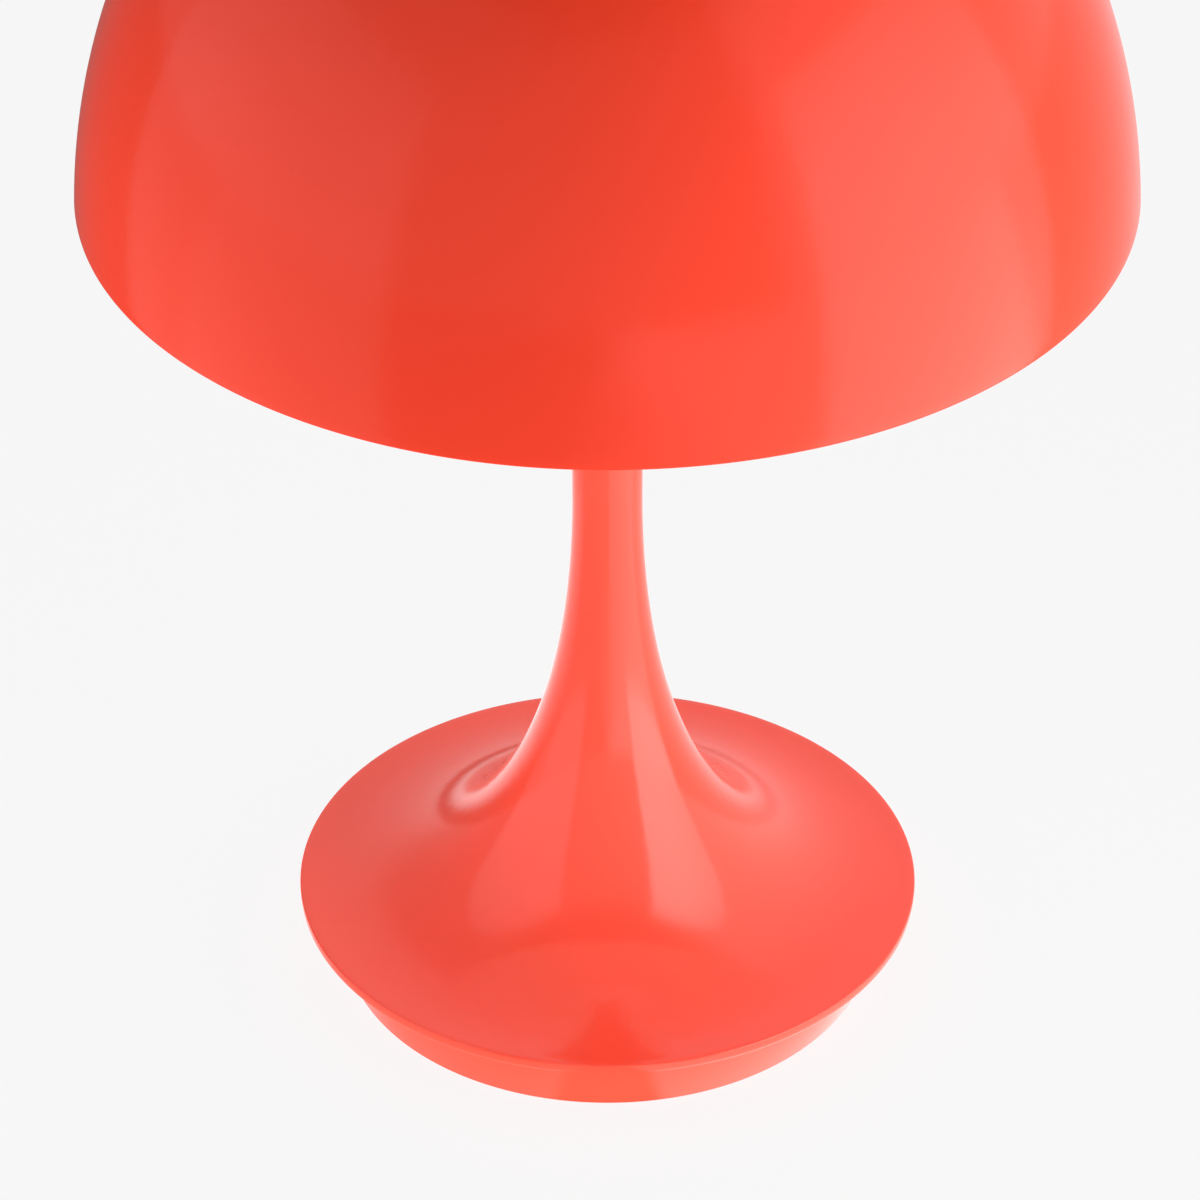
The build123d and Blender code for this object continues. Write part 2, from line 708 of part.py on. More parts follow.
with BuildPart() as board_parts:
    with Locations((0, chip_y, board_z)):
        Box(chip_size, chip_size, chip_h, align=DOWN)
    with Locations((-board_screw_x, coil_y, board_z)):
        Box(coil_size, coil_size, coil_h, align=DOWN)
    with Locations((capacitor_x, led_header_y, board_z)):
        with GridLocations(capacitor_pitch, capacitor_pitch, 2, 2):
            Cylinder(capacitor_r, capacitor_h, align=DOWN)
    charge_light_r = pipe_inner_r - charge_light_y / 2
    charge_light_spot = around(charge_light_r, (pipe_angle,), board_z)[0]
    with Locations(Location(charge_light_spot, (0, 0, pipe_angle))):
        Box(charge_light_y, charge_light_x, charge_light_h, align=DOWN)
board_parts.part.label = "board_parts"
export_step(board_parts.part, "parts/board_parts.step")

with BuildPart() as board_screws:
    with Locations((board_screw_x, board_screw_y, board_z), (-board_screw_x, board_screw_y, board_z)):
        round_head_screw(board_screw, DOWN, UP)
board_screws.part.label = "board_screws"
export_step(board_screws.part, "parts/board_screws.step")

# Charging socket: a rounded metal shell with a plastic tongue in it
mouth_plane = Plane(origin=(0, usb_mouth_y, port_z), x_dir=(-1, 0, 0), z_dir=(0, 1, 0))
usb_inner_w = usb_width - 2 * usb_shell_t
usb_inner_h = usb_height - 2 * usb_shell_t
with BuildPart() as usb_shell:
    with BuildSketch(mouth_plane):
        SlotOverall(usb_width, usb_height)
        SlotOverall(usb_inner_w, usb_inner_h, mode=Mode.SUBTRACT)
    extrude(amount=-usb_depth)
usb_shell.part.label = "usb_shell"
export_step(usb_shell.part, "parts/usb_shell.step")

with BuildPart() as usb_tongue:
    with BuildSketch(mouth_plane.offset(-usb_depth)):
        SlotOverall(usb_inner_w, usb_inner_h)
    extrude(amount=usb_back_t)
    with BuildSketch(mouth_plane.offset(-usb_depth)):
        Rectangle(usb_tongue_w, usb_tongue_t)
    extrude(amount=usb_depth - usb_tongue_sunk)
usb_tongue.part.label = "usb_tongue"
export_step(usb_tongue.part, "parts/usb_tongue.step")

# Lid of the charging socket: a slice of the drum's side with a knuckle on the pin
with BuildPart() as port_flap:
    revolve(drum_section(0, drum_edge_z, drum_top_z), axis=Axis.Z)
    with Locations((-flap_left, recess_floor_y + flap_gap, port_z)):
        Box(
            flap_left + flap_right, drum_top_r, flap_height,
            align=(Align.MIN, Align.MIN, Align.CENTER), mode=Mode.INTERSECT,
        )
    with Locations((-flap_left, pin_y, port_z)):
        Cylinder(flap_knuckle_r, flap_height)
        Cylinder(flap_pin_r + flap_pin_clearance, flap_height, mode=Mode.SUBTRACT)
port_flap.part.label = "port_flap"
export_step(port_flap.part, "parts/port_flap.step")

with BuildPart() as flap_pin:
    with Locations((-flap_left, pin_y, cover_top_z)):
        Cylinder(flap_pin_r, recess_z + recess_h + flap_pin_top - cover_top_z, align=UP)
flap_pin.part.label = "flap_pin"
export_step(flap_pin.part, "parts/flap_pin.step")

# Button cap: its outer end follows the drum's taper, and ears behind the wall keep it in
with BuildPart() as button_cap:
    with BuildSketch(radial_plane(button_angle, ear_inner_r, port_z)):
        SlotOverall(button_w, button_h)
    extrude(amount=drum_top_r)
    revolve(drum_section(button_proud, drum_edge_z, drum_top_z), axis=Axis.Z, mode=Mode.INTERSECT)
    with BuildSketch(radial_plane(button_angle, ear_inner_r, port_z)):
        Rectangle(button_ear_w, button_h)
    extrude(amount=button_ear_t)
button_cap.part.label = "button_cap"
export_step(button_cap.part, "parts/button_cap.step")

# Switch on the board, and its plunger, which travels with the button
with BuildPart() as tact_switch:
    with BuildSketch(radial_plane(button_angle, switch_front_r, port_z)):
        Rectangle(switch_width, usb_height)
    extrude(amount=-switch_depth)
    with BuildSketch(radial_plane(button_angle, switch_front_r, port_z)):
        Circle(plunger_r + plunger_gap)
    extrude(amount=-(plunger_inside + button_travel + plunger_gap), mode=Mode.SUBTRACT)
tact_switch.part.label = "tact_switch"
export_step(tact_switch.part, "parts/tact_switch.step")

with BuildPart() as switch_plunger:
    with BuildSketch(radial_plane(button_angle, switch_front_r - plunger_inside, port_z)):
        Circle(plunger_r)
    extrude(amount=ear_inner_r - switch_front_r + plunger_inside)
switch_plunger.part.label = "switch_plunger"
export_step(switch_plunger.part, "parts/switch_plunger.step")

with BuildPart() as light_pipe:
    with BuildSketch(radial_plane(pipe_angle, pipe_inner_r, port_z)):
        Circle(pipe_r)
    extrude(amount=drum_top_r)
    revolve(drum_section(0, drum_edge_z, drum_top_z), axis=Axis.Z, mode=Mode.INTERSECT)
light_pipe.part.label = "light_pipe"
export_step(light_pipe.part, "parts/light_pipe.step")

# Carrier tube, with a slot where the cable comes out
with BuildPart() as carrier_tube:
    with Locations((0, 0, tube_bottom_z)):
        ring(tube_r, tube_bore_r, tube_top_z - tube_bottom_z)
    with Locations((0, 0, slot_z)):
        Box(
            2 * tube_r, slot_w, slot_h, align=(Align.MIN, Align.CENTER, Align.MIN), mode=Mode.SUBTRACT
        )
carrier_tube.part.label = "carrier_tube"
export_step(carrier_tube.part, "parts/carrier_tube.step")

# Head cup: hub over the stem's end, a sweep out to the lip, and a thick floor that spreads the heat
with BuildPart() as head_cup:
    hub_z = stem_top_z - cup_hub_drop
    brim_z = cup_floor_z - cup_brim_t
    lip_z = cup_floor_z + cup_lip_h
    hub_bore = stem_r + thread_clearance
    tube_bore = tube_r + thread_clearance
    lip_inner = cup_r - cup_lip_t
    with BuildSketch(Plane.XZ):
        with BuildLine():
            sweep_out = Bezier(
                (cup_hub_r, hub_z), (cup_hub_r + cup_sweep_out, hub_z + cup_sweep), (cup_r, brim_z)
            )
            Polyline(
                sweep_out @ 1, (cup_r, lip_z), (lip_inner, lip_z), (lip_inner, cup_floor_z),
                (tube_bore, cup_floor_z), (tube_bore, stem_top_z), (hub_bore, stem_top_z),
                (hub_bore, hub_z), sweep_out @ 0,
            )
        make_face()
    revolve(axis=Axis.Z)
    with Locations((0, 0, led_top_z)):
        with PolarLocations(led_screw_r, led_screw_count, led_screw_angle):
            Cylinder(
                led_screw["shank_r"] + thread_clearance, led_screw["length"], align=DOWN,
                mode=Mode.SUBTRACT,
            )
head_cup.part.label = "head_cup"
export_step(head_cup.part, "parts/head_cup.step")

with BuildPart() as head_nut:
    with BuildSketch(Plane.XY.offset(cup_floor_z)):
        RegularPolygon(head_nut_r, 6)
        Circle(tube_r + thread_clearance, mode=Mode.SUBTRACT)
    extrude(amount=head_nut_h)
head_nut.part.label = "head_nut"
export_step(head_nut.part, "parts/head_nut.step")

# Light board, its chips, its screws and the little socket that takes the cable
with BuildPart() as led_board:
    with Locations((0, 0, cup_floor_z)):
        ring(led_board_r, led_board_bore_r, led_board_t)
        with PolarLocations(led_screw_r, led_screw_count, led_screw_angle):
            Cylinder(
                led_screw["shank_r"] + screw_clearance, led_board_t, align=UP, mode=Mode.SUBTRACT
            )
led_board.part.label = "led_board"
export_step(led_board.part, "parts/led_board.step")

with BuildPart() as led_chips:
    with Locations((0, 0, led_top_z)):
        with PolarLocations(led_pitch_r, led_count):
            Box(led_x, led_y, led_t, align=UP)
led_chips.part.label = "led_chips"
export_step(led_chips.part, "parts/led_chips.step")

with BuildPart() as led_screws:
    with Locations((0, 0, led_top_z)):
        with PolarLocations(led_screw_r, led_screw_count, led_screw_angle):
            round_head_screw(led_screw, UP, DOWN)
led_screws.part.label = "led_screws"
export_step(led_screws.part, "parts/led_screws.step")

with BuildPart() as led_socket:
    with Locations((led_socket_r, 0, led_top_z)):
        Box(led_socket_x, led_socket_y, led_socket_h, align=UP)
led_socket.part.label = "led_socket"
export_step(led_socket.part, "parts/led_socket.step")

# Cable inside the foot, the stem and the tube, then over to the light board
cable_start_y = led_header_y - header_y / 2
cable_route = [
    (led_header_x, cable_start_y, header_z),
    (led_header_x, cable_turn_y, header_z),
    cable_rise,
    (0, 0, cable_stem_z),
    (0, 0, cable_hop_z),
    (led_socket_r, 0, cable_hop_z),
    (led_socket_r, 0, led_top_z + led_socket_h),
]
cable_radii = bend_radii(cable_route)[:-2] + [cable_hop_bend, cable_hop_bend]
print("cable bend radii", [round(r, 1) for r in cable_radii])
with BuildPart() as led_cable:
    with BuildLine() as cable_path:
        FilletPolyline(*cable_route, radius=cable_radii)
    with BuildSketch(Plane(origin=cable_route[0], z_dir=(0, -1, 0))):
        Circle(cable_r)
    sweep(path=cable_path.line)
led_cable.part.label = "led_cable"
export_step(led_cable.part, "parts/led_cable.step")
cable_volume = math.pi * cable_r**2 * sum(edge.length for edge in cable_path.edges())
print("cable volume over its section times its length", round(led_cable.part.volume / cable_volume, 4))

# Opal diffuser over the light board, on a soft gasket, held down by a knurled nut
with BuildPart() as diffuser_gasket:
    with Locations((0, 0, cup_floor_z)):
        ring(diffuser_r, diffuser_r - gasket_w, gasket_t)
diffuser_gasket.part.label = "diffuser_gasket"
export_step(diffuser_gasket.part, "parts/diffuser_gasket.step")

with BuildPart() as diffuser:
    revolve(cap_section(diffuser_r, diffuser_z, diffuser_top_z, diffuser_round), axis=Axis.Z)
    revolve(
        cap_section(
            diffuser_r - diffuser_wall, diffuser_z, diffuser_top_z - diffuser_wall,
            diffuser_round - diffuser_wall,
        ),
        axis=Axis.Z, mode=Mode.SUBTRACT,
    )
    with Locations((0, 0, diffuser_top_z)):
        Cylinder(tube_r + diffuser_hole_gap, 2 * diffuser_wall, align=DOWN, mode=Mode.SUBTRACT)
diffuser.part.label = "diffuser"
export_step(diffuser.part, "parts/diffuser.step")

with BuildPart() as diffuser_nut:
    with Locations((0, 0, diffuser_top_z)):
        ring(diffuser_nut_r, tube_r + thread_clearance, diffuser_nut_h)
        with PolarLocations(diffuser_nut_r + flute_r / 2, flute_count):
            Cylinder(flute_r, diffuser_nut_h, align=UP, mode=Mode.SUBTRACT)
diffuser_nut.part.label = "diffuser_nut"
export_step(diffuser_nut.part, "parts/diffuser_nut.step")
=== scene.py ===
import bpy
import json
import math
from mathutils import Matrix, Vector

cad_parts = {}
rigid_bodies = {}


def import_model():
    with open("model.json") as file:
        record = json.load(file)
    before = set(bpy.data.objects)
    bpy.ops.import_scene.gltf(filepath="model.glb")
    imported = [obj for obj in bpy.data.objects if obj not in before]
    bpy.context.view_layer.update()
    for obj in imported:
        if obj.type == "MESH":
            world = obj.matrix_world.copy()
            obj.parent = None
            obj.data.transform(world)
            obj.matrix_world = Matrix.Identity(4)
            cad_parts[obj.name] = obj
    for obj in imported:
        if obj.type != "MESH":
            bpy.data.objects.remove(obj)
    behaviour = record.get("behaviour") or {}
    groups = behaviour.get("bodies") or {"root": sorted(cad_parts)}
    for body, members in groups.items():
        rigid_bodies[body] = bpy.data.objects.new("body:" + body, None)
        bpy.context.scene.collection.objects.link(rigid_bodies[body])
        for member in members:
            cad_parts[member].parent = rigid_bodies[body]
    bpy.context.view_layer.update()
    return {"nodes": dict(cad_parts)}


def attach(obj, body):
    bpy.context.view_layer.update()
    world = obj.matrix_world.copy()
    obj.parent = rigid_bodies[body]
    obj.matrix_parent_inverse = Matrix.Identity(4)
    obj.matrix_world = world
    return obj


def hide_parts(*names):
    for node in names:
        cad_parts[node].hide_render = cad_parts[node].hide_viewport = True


# Coral table lamp: mushroom shade, thin stem, trumpet foot on a low drum.
# Values in the pieces' dictionaries are millimetres and degrees; mm turns them into metres.

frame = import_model()
nodes = frame["nodes"]
mm = 0.001
print("frame loaded:", len(nodes), "nodes")


# small helpers

def nothingSelected():
    if bpy.context.object and bpy.context.object.mode != "OBJECT":
        bpy.ops.object.mode_set(mode="OBJECT")
    bpy.ops.object.select_all(action="DESELECT")


def takeUp(piece):
    nothingSelected()
    piece.select_set(True)
    bpy.context.view_layer.objects.active = piece
    return piece


def applyAll(piece):
    takeUp(piece)
    for modifier in list(piece.modifiers):
        bpy.ops.object.modifier_apply(modifier=modifier.name)


def settle(piece):          # object to the origin, its place in the mesh
    takeUp(piece)
    bpy.ops.object.transform_apply(location=True, rotation=True, scale=True)


def smooth(piece, angle=32):
    takeUp(piece)
    bpy.ops.object.shade_smooth_by_angle(angle=math.radians(angle))


def pick(piece, kind, wanted):      # leaves edit mode on, with only the wanted things selected
    takeUp(piece)
    bpy.ops.object.mode_set(mode="EDIT")
    bpy.ops.mesh.select_mode(type=kind)
    bpy.ops.mesh.select_all(action="DESELECT")
    bpy.ops.object.mode_set(mode="OBJECT")
    mesh = piece.data
    things = {"VERT": mesh.vertices, "EDGE": mesh.edges, "FACE": mesh.polygons}[kind]
    count = 0
    for thing in things:
        if wanted(thing):
            thing.select = True
            count += 1
    bpy.ops.object.mode_set(mode="EDIT")
    return count


def spin(name, knots, steps=256, smoothness=24, closed=True):
    # a half section of corners (r, z) and curve knots (r, z, handle before, handle after), spun about the
    # axis; closed is False for a single curve that gets its wall later
    nothingSelected()
    bpy.ops.curve.primitive_bezier_curve_add(location=(0, 0, 0))
    piece = bpy.context.object
    piece.name = name
    piece.data.dimensions = "3D"
    piece.data.resolution_u = smoothness
    spline = piece.data.splines[0]
    spline.bezier_points.add(len(knots) - 2)
    for point, knot in zip(spline.bezier_points, knots):
        before, after = (knot[2], knot[3]) if len(knot) == 4 else (None, None)
        point.co = (knot[0] * mm, 0, knot[1] * mm)
        point.handle_left_type = "FREE" if before else "VECTOR"
        point.handle_right_type = "FREE" if after else "VECTOR"
        if before:
            point.handle_left = (before[0] * mm, 0, before[1] * mm)
        if after:
            point.handle_right = (after[0] * mm, 0, after[1] * mm)
    spline.use_cyclic_u = closed
    bpy.ops.object.convert(target="MESH")
    piece = bpy.context.object
    bpy.ops.object.mode_set(mode="EDIT")
    bpy.ops.mesh.select_all(action="SELECT")
    bpy.ops.mesh.remove_doubles(threshold=1e-7)
    bpy.ops.mesh.spin(steps=steps, angle=2 * math.pi, center=(0, 0, 0), axis=(0, 0, 1))
    bpy.ops.mesh.select_all(action="SELECT")
    bpy.ops.mesh.remove_doubles(threshold=1e-6)
    bpy.ops.mesh.delete_loose(use_verts=True, use_edges=True, use_faces=False)      # what lay along the axis
    bpy.ops.mesh.select_all(action="SELECT")
    bpy.ops.mesh.normals_make_consistent(inside=False)
    bpy.ops.object.mode_set(mode="OBJECT")
    return piece


def bevelRing(piece, r, z, width, segments=3, reach=0.06):     # rounds the ring edge at (r, z)
    def near(vertex):
        sideways = math.hypot(vertex.co.x, vertex.co.y) - r * mm
        return abs(sideways) < reach * mm and abs(vertex.co.z - z * mm) < reach * mm
    close = [near(vertex) for vertex in piece.data.vertices]
    if pick(piece, "EDGE", lambda edge: close[edge.vertices[0]] and close[edge.vertices[1]]):
        bpy.ops.mesh.bevel(offset_type="OFFSET", offset=width * mm, segments=segments, affect="EDGES")
    bpy.ops.object.mode_set(mode="OBJECT")


def cut(piece, tool, operation="DIFFERENCE"):
    modifier = piece.modifiers.new("cut", "BOOLEAN")
    modifier.operation = operation
    modifier.solver = "EXACT"
    modifier.object = tool
    applyAll(piece)
    bpy.data.objects.remove(tool)


def block(low, high, name="block"):
    nothingSelected()
    bpy.ops.mesh.primitive_cube_add(size=1, location=[(a + b) / 2 * mm for a, b in zip(low, high)])
    piece = bpy.context.object
    piece.name = name
    piece.scale = [(b - a) * mm for a, b in zip(low, high)]
    settle(piece)
    return piece


def around(r, angles):      # places on a circle about the axis
    return [(r * math.cos(math.radians(angle)), r * math.sin(math.radians(angle))) for angle in angles]


def posts(spots, low, high, lowR, highR=None, corners=40):      # equal upright pegs, one tool for all of them
    nothingSelected()
    bpy.ops.mesh.primitive_cone_add(vertices=corners, radius1=lowR * mm, radius2=(highR or lowR) * mm,
                                    depth=(high - low) * mm, location=(0, 0, (low + high) / 2 * mm))
    first = bpy.context.object
    pegs = [first]
    for spot in spots[1:]:
        takeUp(first)
        bpy.ops.object.duplicate()
        pegs.append(bpy.context.object)
    nothingSelected()
    for peg, spot in zip(pegs, spots):
        peg.location.x, peg.location.y = spot[0] * mm, spot[1] * mm
        peg.select_set(True)
    bpy.context.view_layer.objects.active = first
    if len(pegs) > 1:
        bpy.ops.object.join()
    settle(first)
    return first


def finished(piece, body, slotName, finishes, *replaced):
    for finish in finishes:
        piece.data.materials.append(finish)
    smooth(piece)
    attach(piece, body)
    if replaced:
        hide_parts(*replaced)
    return piece


# shader expressions

class Tone:
    # wraps one output socket of a node tree, so that sums on it add Math nodes
    def __init__(self, tree, socket):
        self.tree, self.socket = tree, socket

    def node(self, kind, settings=None, values=None, out=0):
        node = self.tree.nodes.new(kind)
        for key, value in (settings or {}).items():
            if key == "stops":
                ramp = node.color_ramp
                while len(ramp.elements) < len(value):
                    ramp.elements.new(0.5)
                for element, (place, colour) in zip(ramp.elements, value):
                    element.position = place
                    element.color = (*colour, 1)
            else:
                setattr(node, key, value)
        for key, value in (values or {}).items():
            Tone.plug(self.tree, node.inputs[key], value)
        return Tone(self.tree, node.outputs[out])

    @staticmethod
    def plug(tree, socket, value):
        if isinstance(value, Tone):
            tree.links.new(value.socket, socket)
        elif isinstance(value, tuple) and len(value) == 3 and socket.type == "RGBA":
            socket.default_value = (*value, 1)
        else:
            socket.default_value = value

    def sum(self, operation, first, second=None):
        values = {0: first} if second is None else {0: first, 1: second}
        return self.node("ShaderNodeMath", {"operation": operation}, values)

    def __add__(self, other): return self.sum("ADD", self, other)
    def __radd__(self, other): return self.sum("ADD", other, self)
    def __sub__(self, other): return self.sum("SUBTRACT", self, other)
    def __rsub__(self, other): return self.sum("SUBTRACT", other, self)
    def __mul__(self, other): return self.sum("MULTIPLY", self, other)
    def __rmul__(self, other): return self.sum("MULTIPLY", other, self)
    def __truediv__(self, other): return self.sum("DIVIDE", self, other)
    def __pow__(self, other): return self.sum("POWER", self, other)

    def noise(self, scale, detail=3.0, rough=0.5):
        values = {"Vector": self, "Scale": scale, "Detail": detail, "Roughness": rough}
        return self.node("ShaderNodeTexNoise", None, values)

    def cells(self, scale):
        return self.node("ShaderNodeTexVoronoi", {"feature": "F1"}, {"Vector": self, "Scale": scale})

    def axis(self, name):
        return self.node("ShaderNodeSeparateXYZ", None, {0: self}, out="XYZ".index(name))

    def stretched(self, factors):
        return self.node("ShaderNodeMapping", None, {"Vector": self, "Scale": factors})

    def between(self, low, high):       # 0 below low, 1 above high, smooth between
        return self.node("ShaderNodeMapRange", {"interpolation_type": "SMOOTHSTEP"},
                         {"Value": self, "From Min": low, "From Max": high})

    def mixed(self, first, second):     # colours first and second by this factor
        node = self.tree.nodes.new("ShaderNodeMix")
        node.data_type = "RGBA"
        for key, value in ((0, self), (6, first), (7, second)):
            Tone.plug(self.tree, node.inputs[key], value)
        return Tone(self.tree, node.outputs[2])

    def bump(self, strength, distance):
        return self.node("ShaderNodeBump", None, {"Strength": strength, "Distance": distance, "Height": self})


def newFinish(name, **fixed):
    material = bpy.data.materials.new(name)
    material.use_nodes = True
    tree = material.node_tree
    shader = tree.nodes["Principled BSDF"]
    for key, value in fixed.items():
        Tone.plug(tree, shader.inputs[key.replace("_", " ")], value)
    place = Tone(tree, tree.nodes.new("ShaderNodeTexCoord").outputs["Object"])

    def give(**values):
        for key, value in values.items():
            Tone.plug(tree, shader.inputs[key.replace("_", " ")], value)
    return material, place, give


# finishes: a noise is (scale per metre, detail, roughness), a relief is (strength, depth in metres)

# body and deep are the foot's and button's copy of the shade's lacquer, painted paler and brighter: painted
# light and sheen; shade and shadeDeep are the shade's own colours
coralTone = {"body": (0.97, 0.069, 0.036), "deep": (0.95, 0.064, 0.033), "shade": (0.92, 0.050, 0.018),
             "shadeDeep": (0.89, 0.046, 0.016), "drift": (14, 2), "spread": (0.35, 0.65), "smudge": 0.05,
             "smudgeGrain": (38, 4, 0.6), "peelGrain": (620, 1.5, 0.4), "wave": (160, 1), "waveShare": 0.6,
             "depth": 0.0004}


def lacquerFinish(name, gloss, peel, sheen=1.46, light="body", dark="deep"):
    material, place, give = newFinish(name, IOR=sheen)
    drift = place.noise(*coralTone["drift"]).between(*coralTone["spread"])
    smudge = place.noise(*coralTone["smudgeGrain"])
    skin = place.noise(*coralTone["peelGrain"]) + place.noise(*coralTone["wave"]) * coralTone["waveShare"]
    give(Base_Color=drift.mixed(coralTone[light], coralTone[dark]),
         Roughness=smudge * coralTone["smudge"] + (gloss - coralTone["smudge"] / 2),
         Normal=skin.bump(peel, coralTone["depth"]))
    return material


coralLacquer = lacquerFinish("coralLacquer", gloss=0.14, peel=0.05)
shadeLacquer = lacquerFinish("shadeLacquer", gloss=0.17, peel=0.06, sheen=1.31, light="shade",
                             dark="shadeDeep")
coralMoulding = lacquerFinish("coralMoulding", gloss=0.24, peel=0.09)


def coatFinish(name, tone, **fixed):        # colour, haze and grain each have a noise of their own
    material, place, give = newFinish(name, **fixed)
    mottle = place.noise(*tone["mottle"])
    if "spread" in tone:
        mottle = mottle.between(*tone["spread"])
    give(Base_Color=mottle.mixed(*tone["colours"]),
         Roughness=place.noise(*tone["hazeGrain"]) * tone["haze"] + tone["matt"])
    if "grain" in tone:
        give(Normal=place.noise(*tone["grain"]).bump(*tone["relief"]))
    return material


whiteLining = coatFinish("whiteLining", {
    "colours": ((0.86, 0.85, 0.82), (0.83, 0.82, 0.78)), "mottle": (22, 2), "spread": (0.3, 0.7),
    "hazeGrain": (60, 3), "haze": 0.1, "matt": 0.38, "grain": (900, 2), "relief": (0.12, 0.0004)}, IOR=1.45)
coralSilicone = coatFinish("coralSilicone", {
    "colours": ((0.78, 0.040, 0.014), (0.70, 0.034, 0.011)), "mottle": (300, 3), "hazeGrain": (900, 2),
    "haze": 0.12, "matt": 0.52, "grain": (5200, 2), "relief": (0.25, 0.0002)}, IOR=1.42)
opalAcrylic = coatFinish("opalAcrylic", {
    "colours": ((0.74, 0.73, 0.70), (0.77, 0.76, 0.73)), "mottle": (30, 2),
    "hazeGrain": (45, 3), "haze": 0.08, "matt": 0.30, "grain": (1400, 2), "relief": (0.10, 0.0003)},
    IOR=1.49, Subsurface_Weight=0.35, Subsurface_Scale=0.004)
clearGuide = coatFinish("clearGuide", {
    "colours": ((0.86, 0.88, 0.90), (0.80, 0.83, 0.86)), "mottle": (600, 2),
    "hazeGrain": (900, 2), "haze": 0.1, "matt": 0.08}, IOR=1.49, Transmission_Weight=0.75)

# turned rings run round the axis under the white coat
turnedTone = {"colours": ((0.70, 0.70, 0.685), (0.66, 0.66, 0.645)), "mottle": (40, 2), "rings": 14000,
              "haze": 0.03, "matt": 0.34, "ringShare": 0.5, "grain": (1100, 2), "relief": (0.10, 0.0002)}
turnedWhite, place, give = newFinish("turnedWhite", IOR=1.5)
ringsOut = (place.axis("X") ** 2 + place.axis("Y") ** 2) ** 0.5
turning = place.sum("SINE", (ringsOut + place.axis("Z")) * turnedTone["rings"])
ringed = turning * turnedTone["ringShare"] + place.noise(*turnedTone["grain"])
give(Base_Color=place.noise(*turnedTone["mottle"]).mixed(*turnedTone["colours"]),
     Roughness=turning * turnedTone["haze"] + turnedTone["matt"], Normal=ringed.bump(*turnedTone["relief"]))

metalTone = {"detail": (4, 0.6), "spread": (0.3, 0.7), "haze": 0.16, "relief": (0.10, 0.0002)}


def metalFinish(name, light, dark, matt, grain, streaks):
    material, place, give = newFinish(name, Metallic=1.0)
    brushed = place.stretched(streaks).noise(grain, *metalTone["detail"])
    give(Base_Color=brushed.between(*metalTone["spread"]).mixed(light, dark),
         Roughness=brushed * metalTone["haze"] + matt, Normal=brushed.bump(*metalTone["relief"]))
    return material


zincSteel = metalFinish("zincSteel", light=(0.64, 0.65, 0.67), dark=(0.56, 0.57, 0.58), matt=0.22, grain=900,
                        streaks=(1, 1, 0.15))
nickelMagnet = metalFinish("nickelMagnet", light=(0.72, 0.69, 0.63), dark=(0.66, 0.63, 0.58), matt=0.12,
                           grain=700, streaks=(1, 1, 1))

ironTone = {"colours": ((0.05, 0.05, 0.052), (0.11, 0.105, 0.10)), "pits": (420, 6, 0.7), "lumps": 260,
            "lumpShare": 0.4, "haze": 0.25, "matt": 0.55, "relief": (0.5, 0.0006)}
castIron, place, give = newFinish("castIron", Metallic=0.7)
pits = place.noise(*ironTone["pits"])
lumpy = pits + place.cells(ironTone["lumps"]) * ironTone["lumpShare"]
give(Base_Color=pits.mixed(*ironTone["colours"]), Roughness=pits * ironTone["haze"] + ironTone["matt"],
     Normal=lumpy.bump(*ironTone["relief"]))

rubberTone = {"colours": ((0.020, 0.020, 0.021), (0.045, 0.044, 0.043)), "dust": (180, 5, 0.65),
              "spread": (0.5, 0.8), "haze": 0.15, "matt": 0.66, "grain": (3200, 2), "relief": (0.3, 0.0003)}
padRubber, place, give = newFinish("padRubber", IOR=1.45)
dust = place.noise(*rubberTone["dust"])
give(Base_Color=dust.between(*rubberTone["spread"]).mixed(*rubberTone["colours"]),
     Roughness=dust * rubberTone["haze"] + rubberTone["matt"],
     Normal=place.noise(*rubberTone["grain"]).bump(*rubberTone["relief"]))

foamTone = {"colours": ((0.02, 0.02, 0.022), (0.07, 0.07, 0.075)), "bubbles": 1500, "spread": (0.1, 0.6),
            "matt": 0.9, "relief": (0.6, 0.0006)}
greyFoam, place, give = newFinish("greyFoam", IOR=1.35)
bubbles = place.cells(foamTone["bubbles"])
give(Base_Color=bubbles.between(*foamTone["spread"]).mixed(*foamTone["colours"]), Roughness=foamTone["matt"],
     Normal=bubbles.bump(*foamTone["relief"]))

boardTone = {"rowShare": 0.21, "rowShift": 0.37, "trackWidth": (0.20, 0.15), "gaps": (90, 0),
             "gapEdge": (0.45, 0.50), "hazeGrain": (500, 2), "haze": 0.1, "matt": 0.3, "grain": (1500, 2),
             "grainShare": 0.2, "relief": (0.3, 0.0001)}


def boardFinish(name, mask, track, pitch):      # copper tracks in rows under the solder mask
    material, place, give = newFinish(name, IOR=1.5)
    row = place.sum("FLOOR", place.axis("Y") * pitch * boardTone["rowShare"])
    along = place.axis("X") * pitch + row * boardTone["rowShift"]
    runs = place.sum("ABSOLUTE", place.sum("FRACT", along) - 0.5)
    gaps = place.noise(*boardTone["gaps"]).between(*boardTone["gapEdge"])
    tracks = runs.between(*boardTone["trackWidth"]) * gaps
    rough = tracks + place.noise(*boardTone["grain"]) * boardTone["grainShare"]
    give(Base_Color=tracks.mixed(mask, track),
         Roughness=place.noise(*boardTone["hazeGrain"]) * boardTone["haze"] + boardTone["matt"],
         Normal=rough.bump(*boardTone["relief"]))
    return material


greenBoard = boardFinish("greenBoard", mask=(0.010, 0.085, 0.035), track=(0.022, 0.14, 0.06), pitch=900)
whiteBoard = boardFinish("whiteBoard", mask=(0.82, 0.82, 0.79), track=(0.74, 0.74, 0.71), pitch=420)


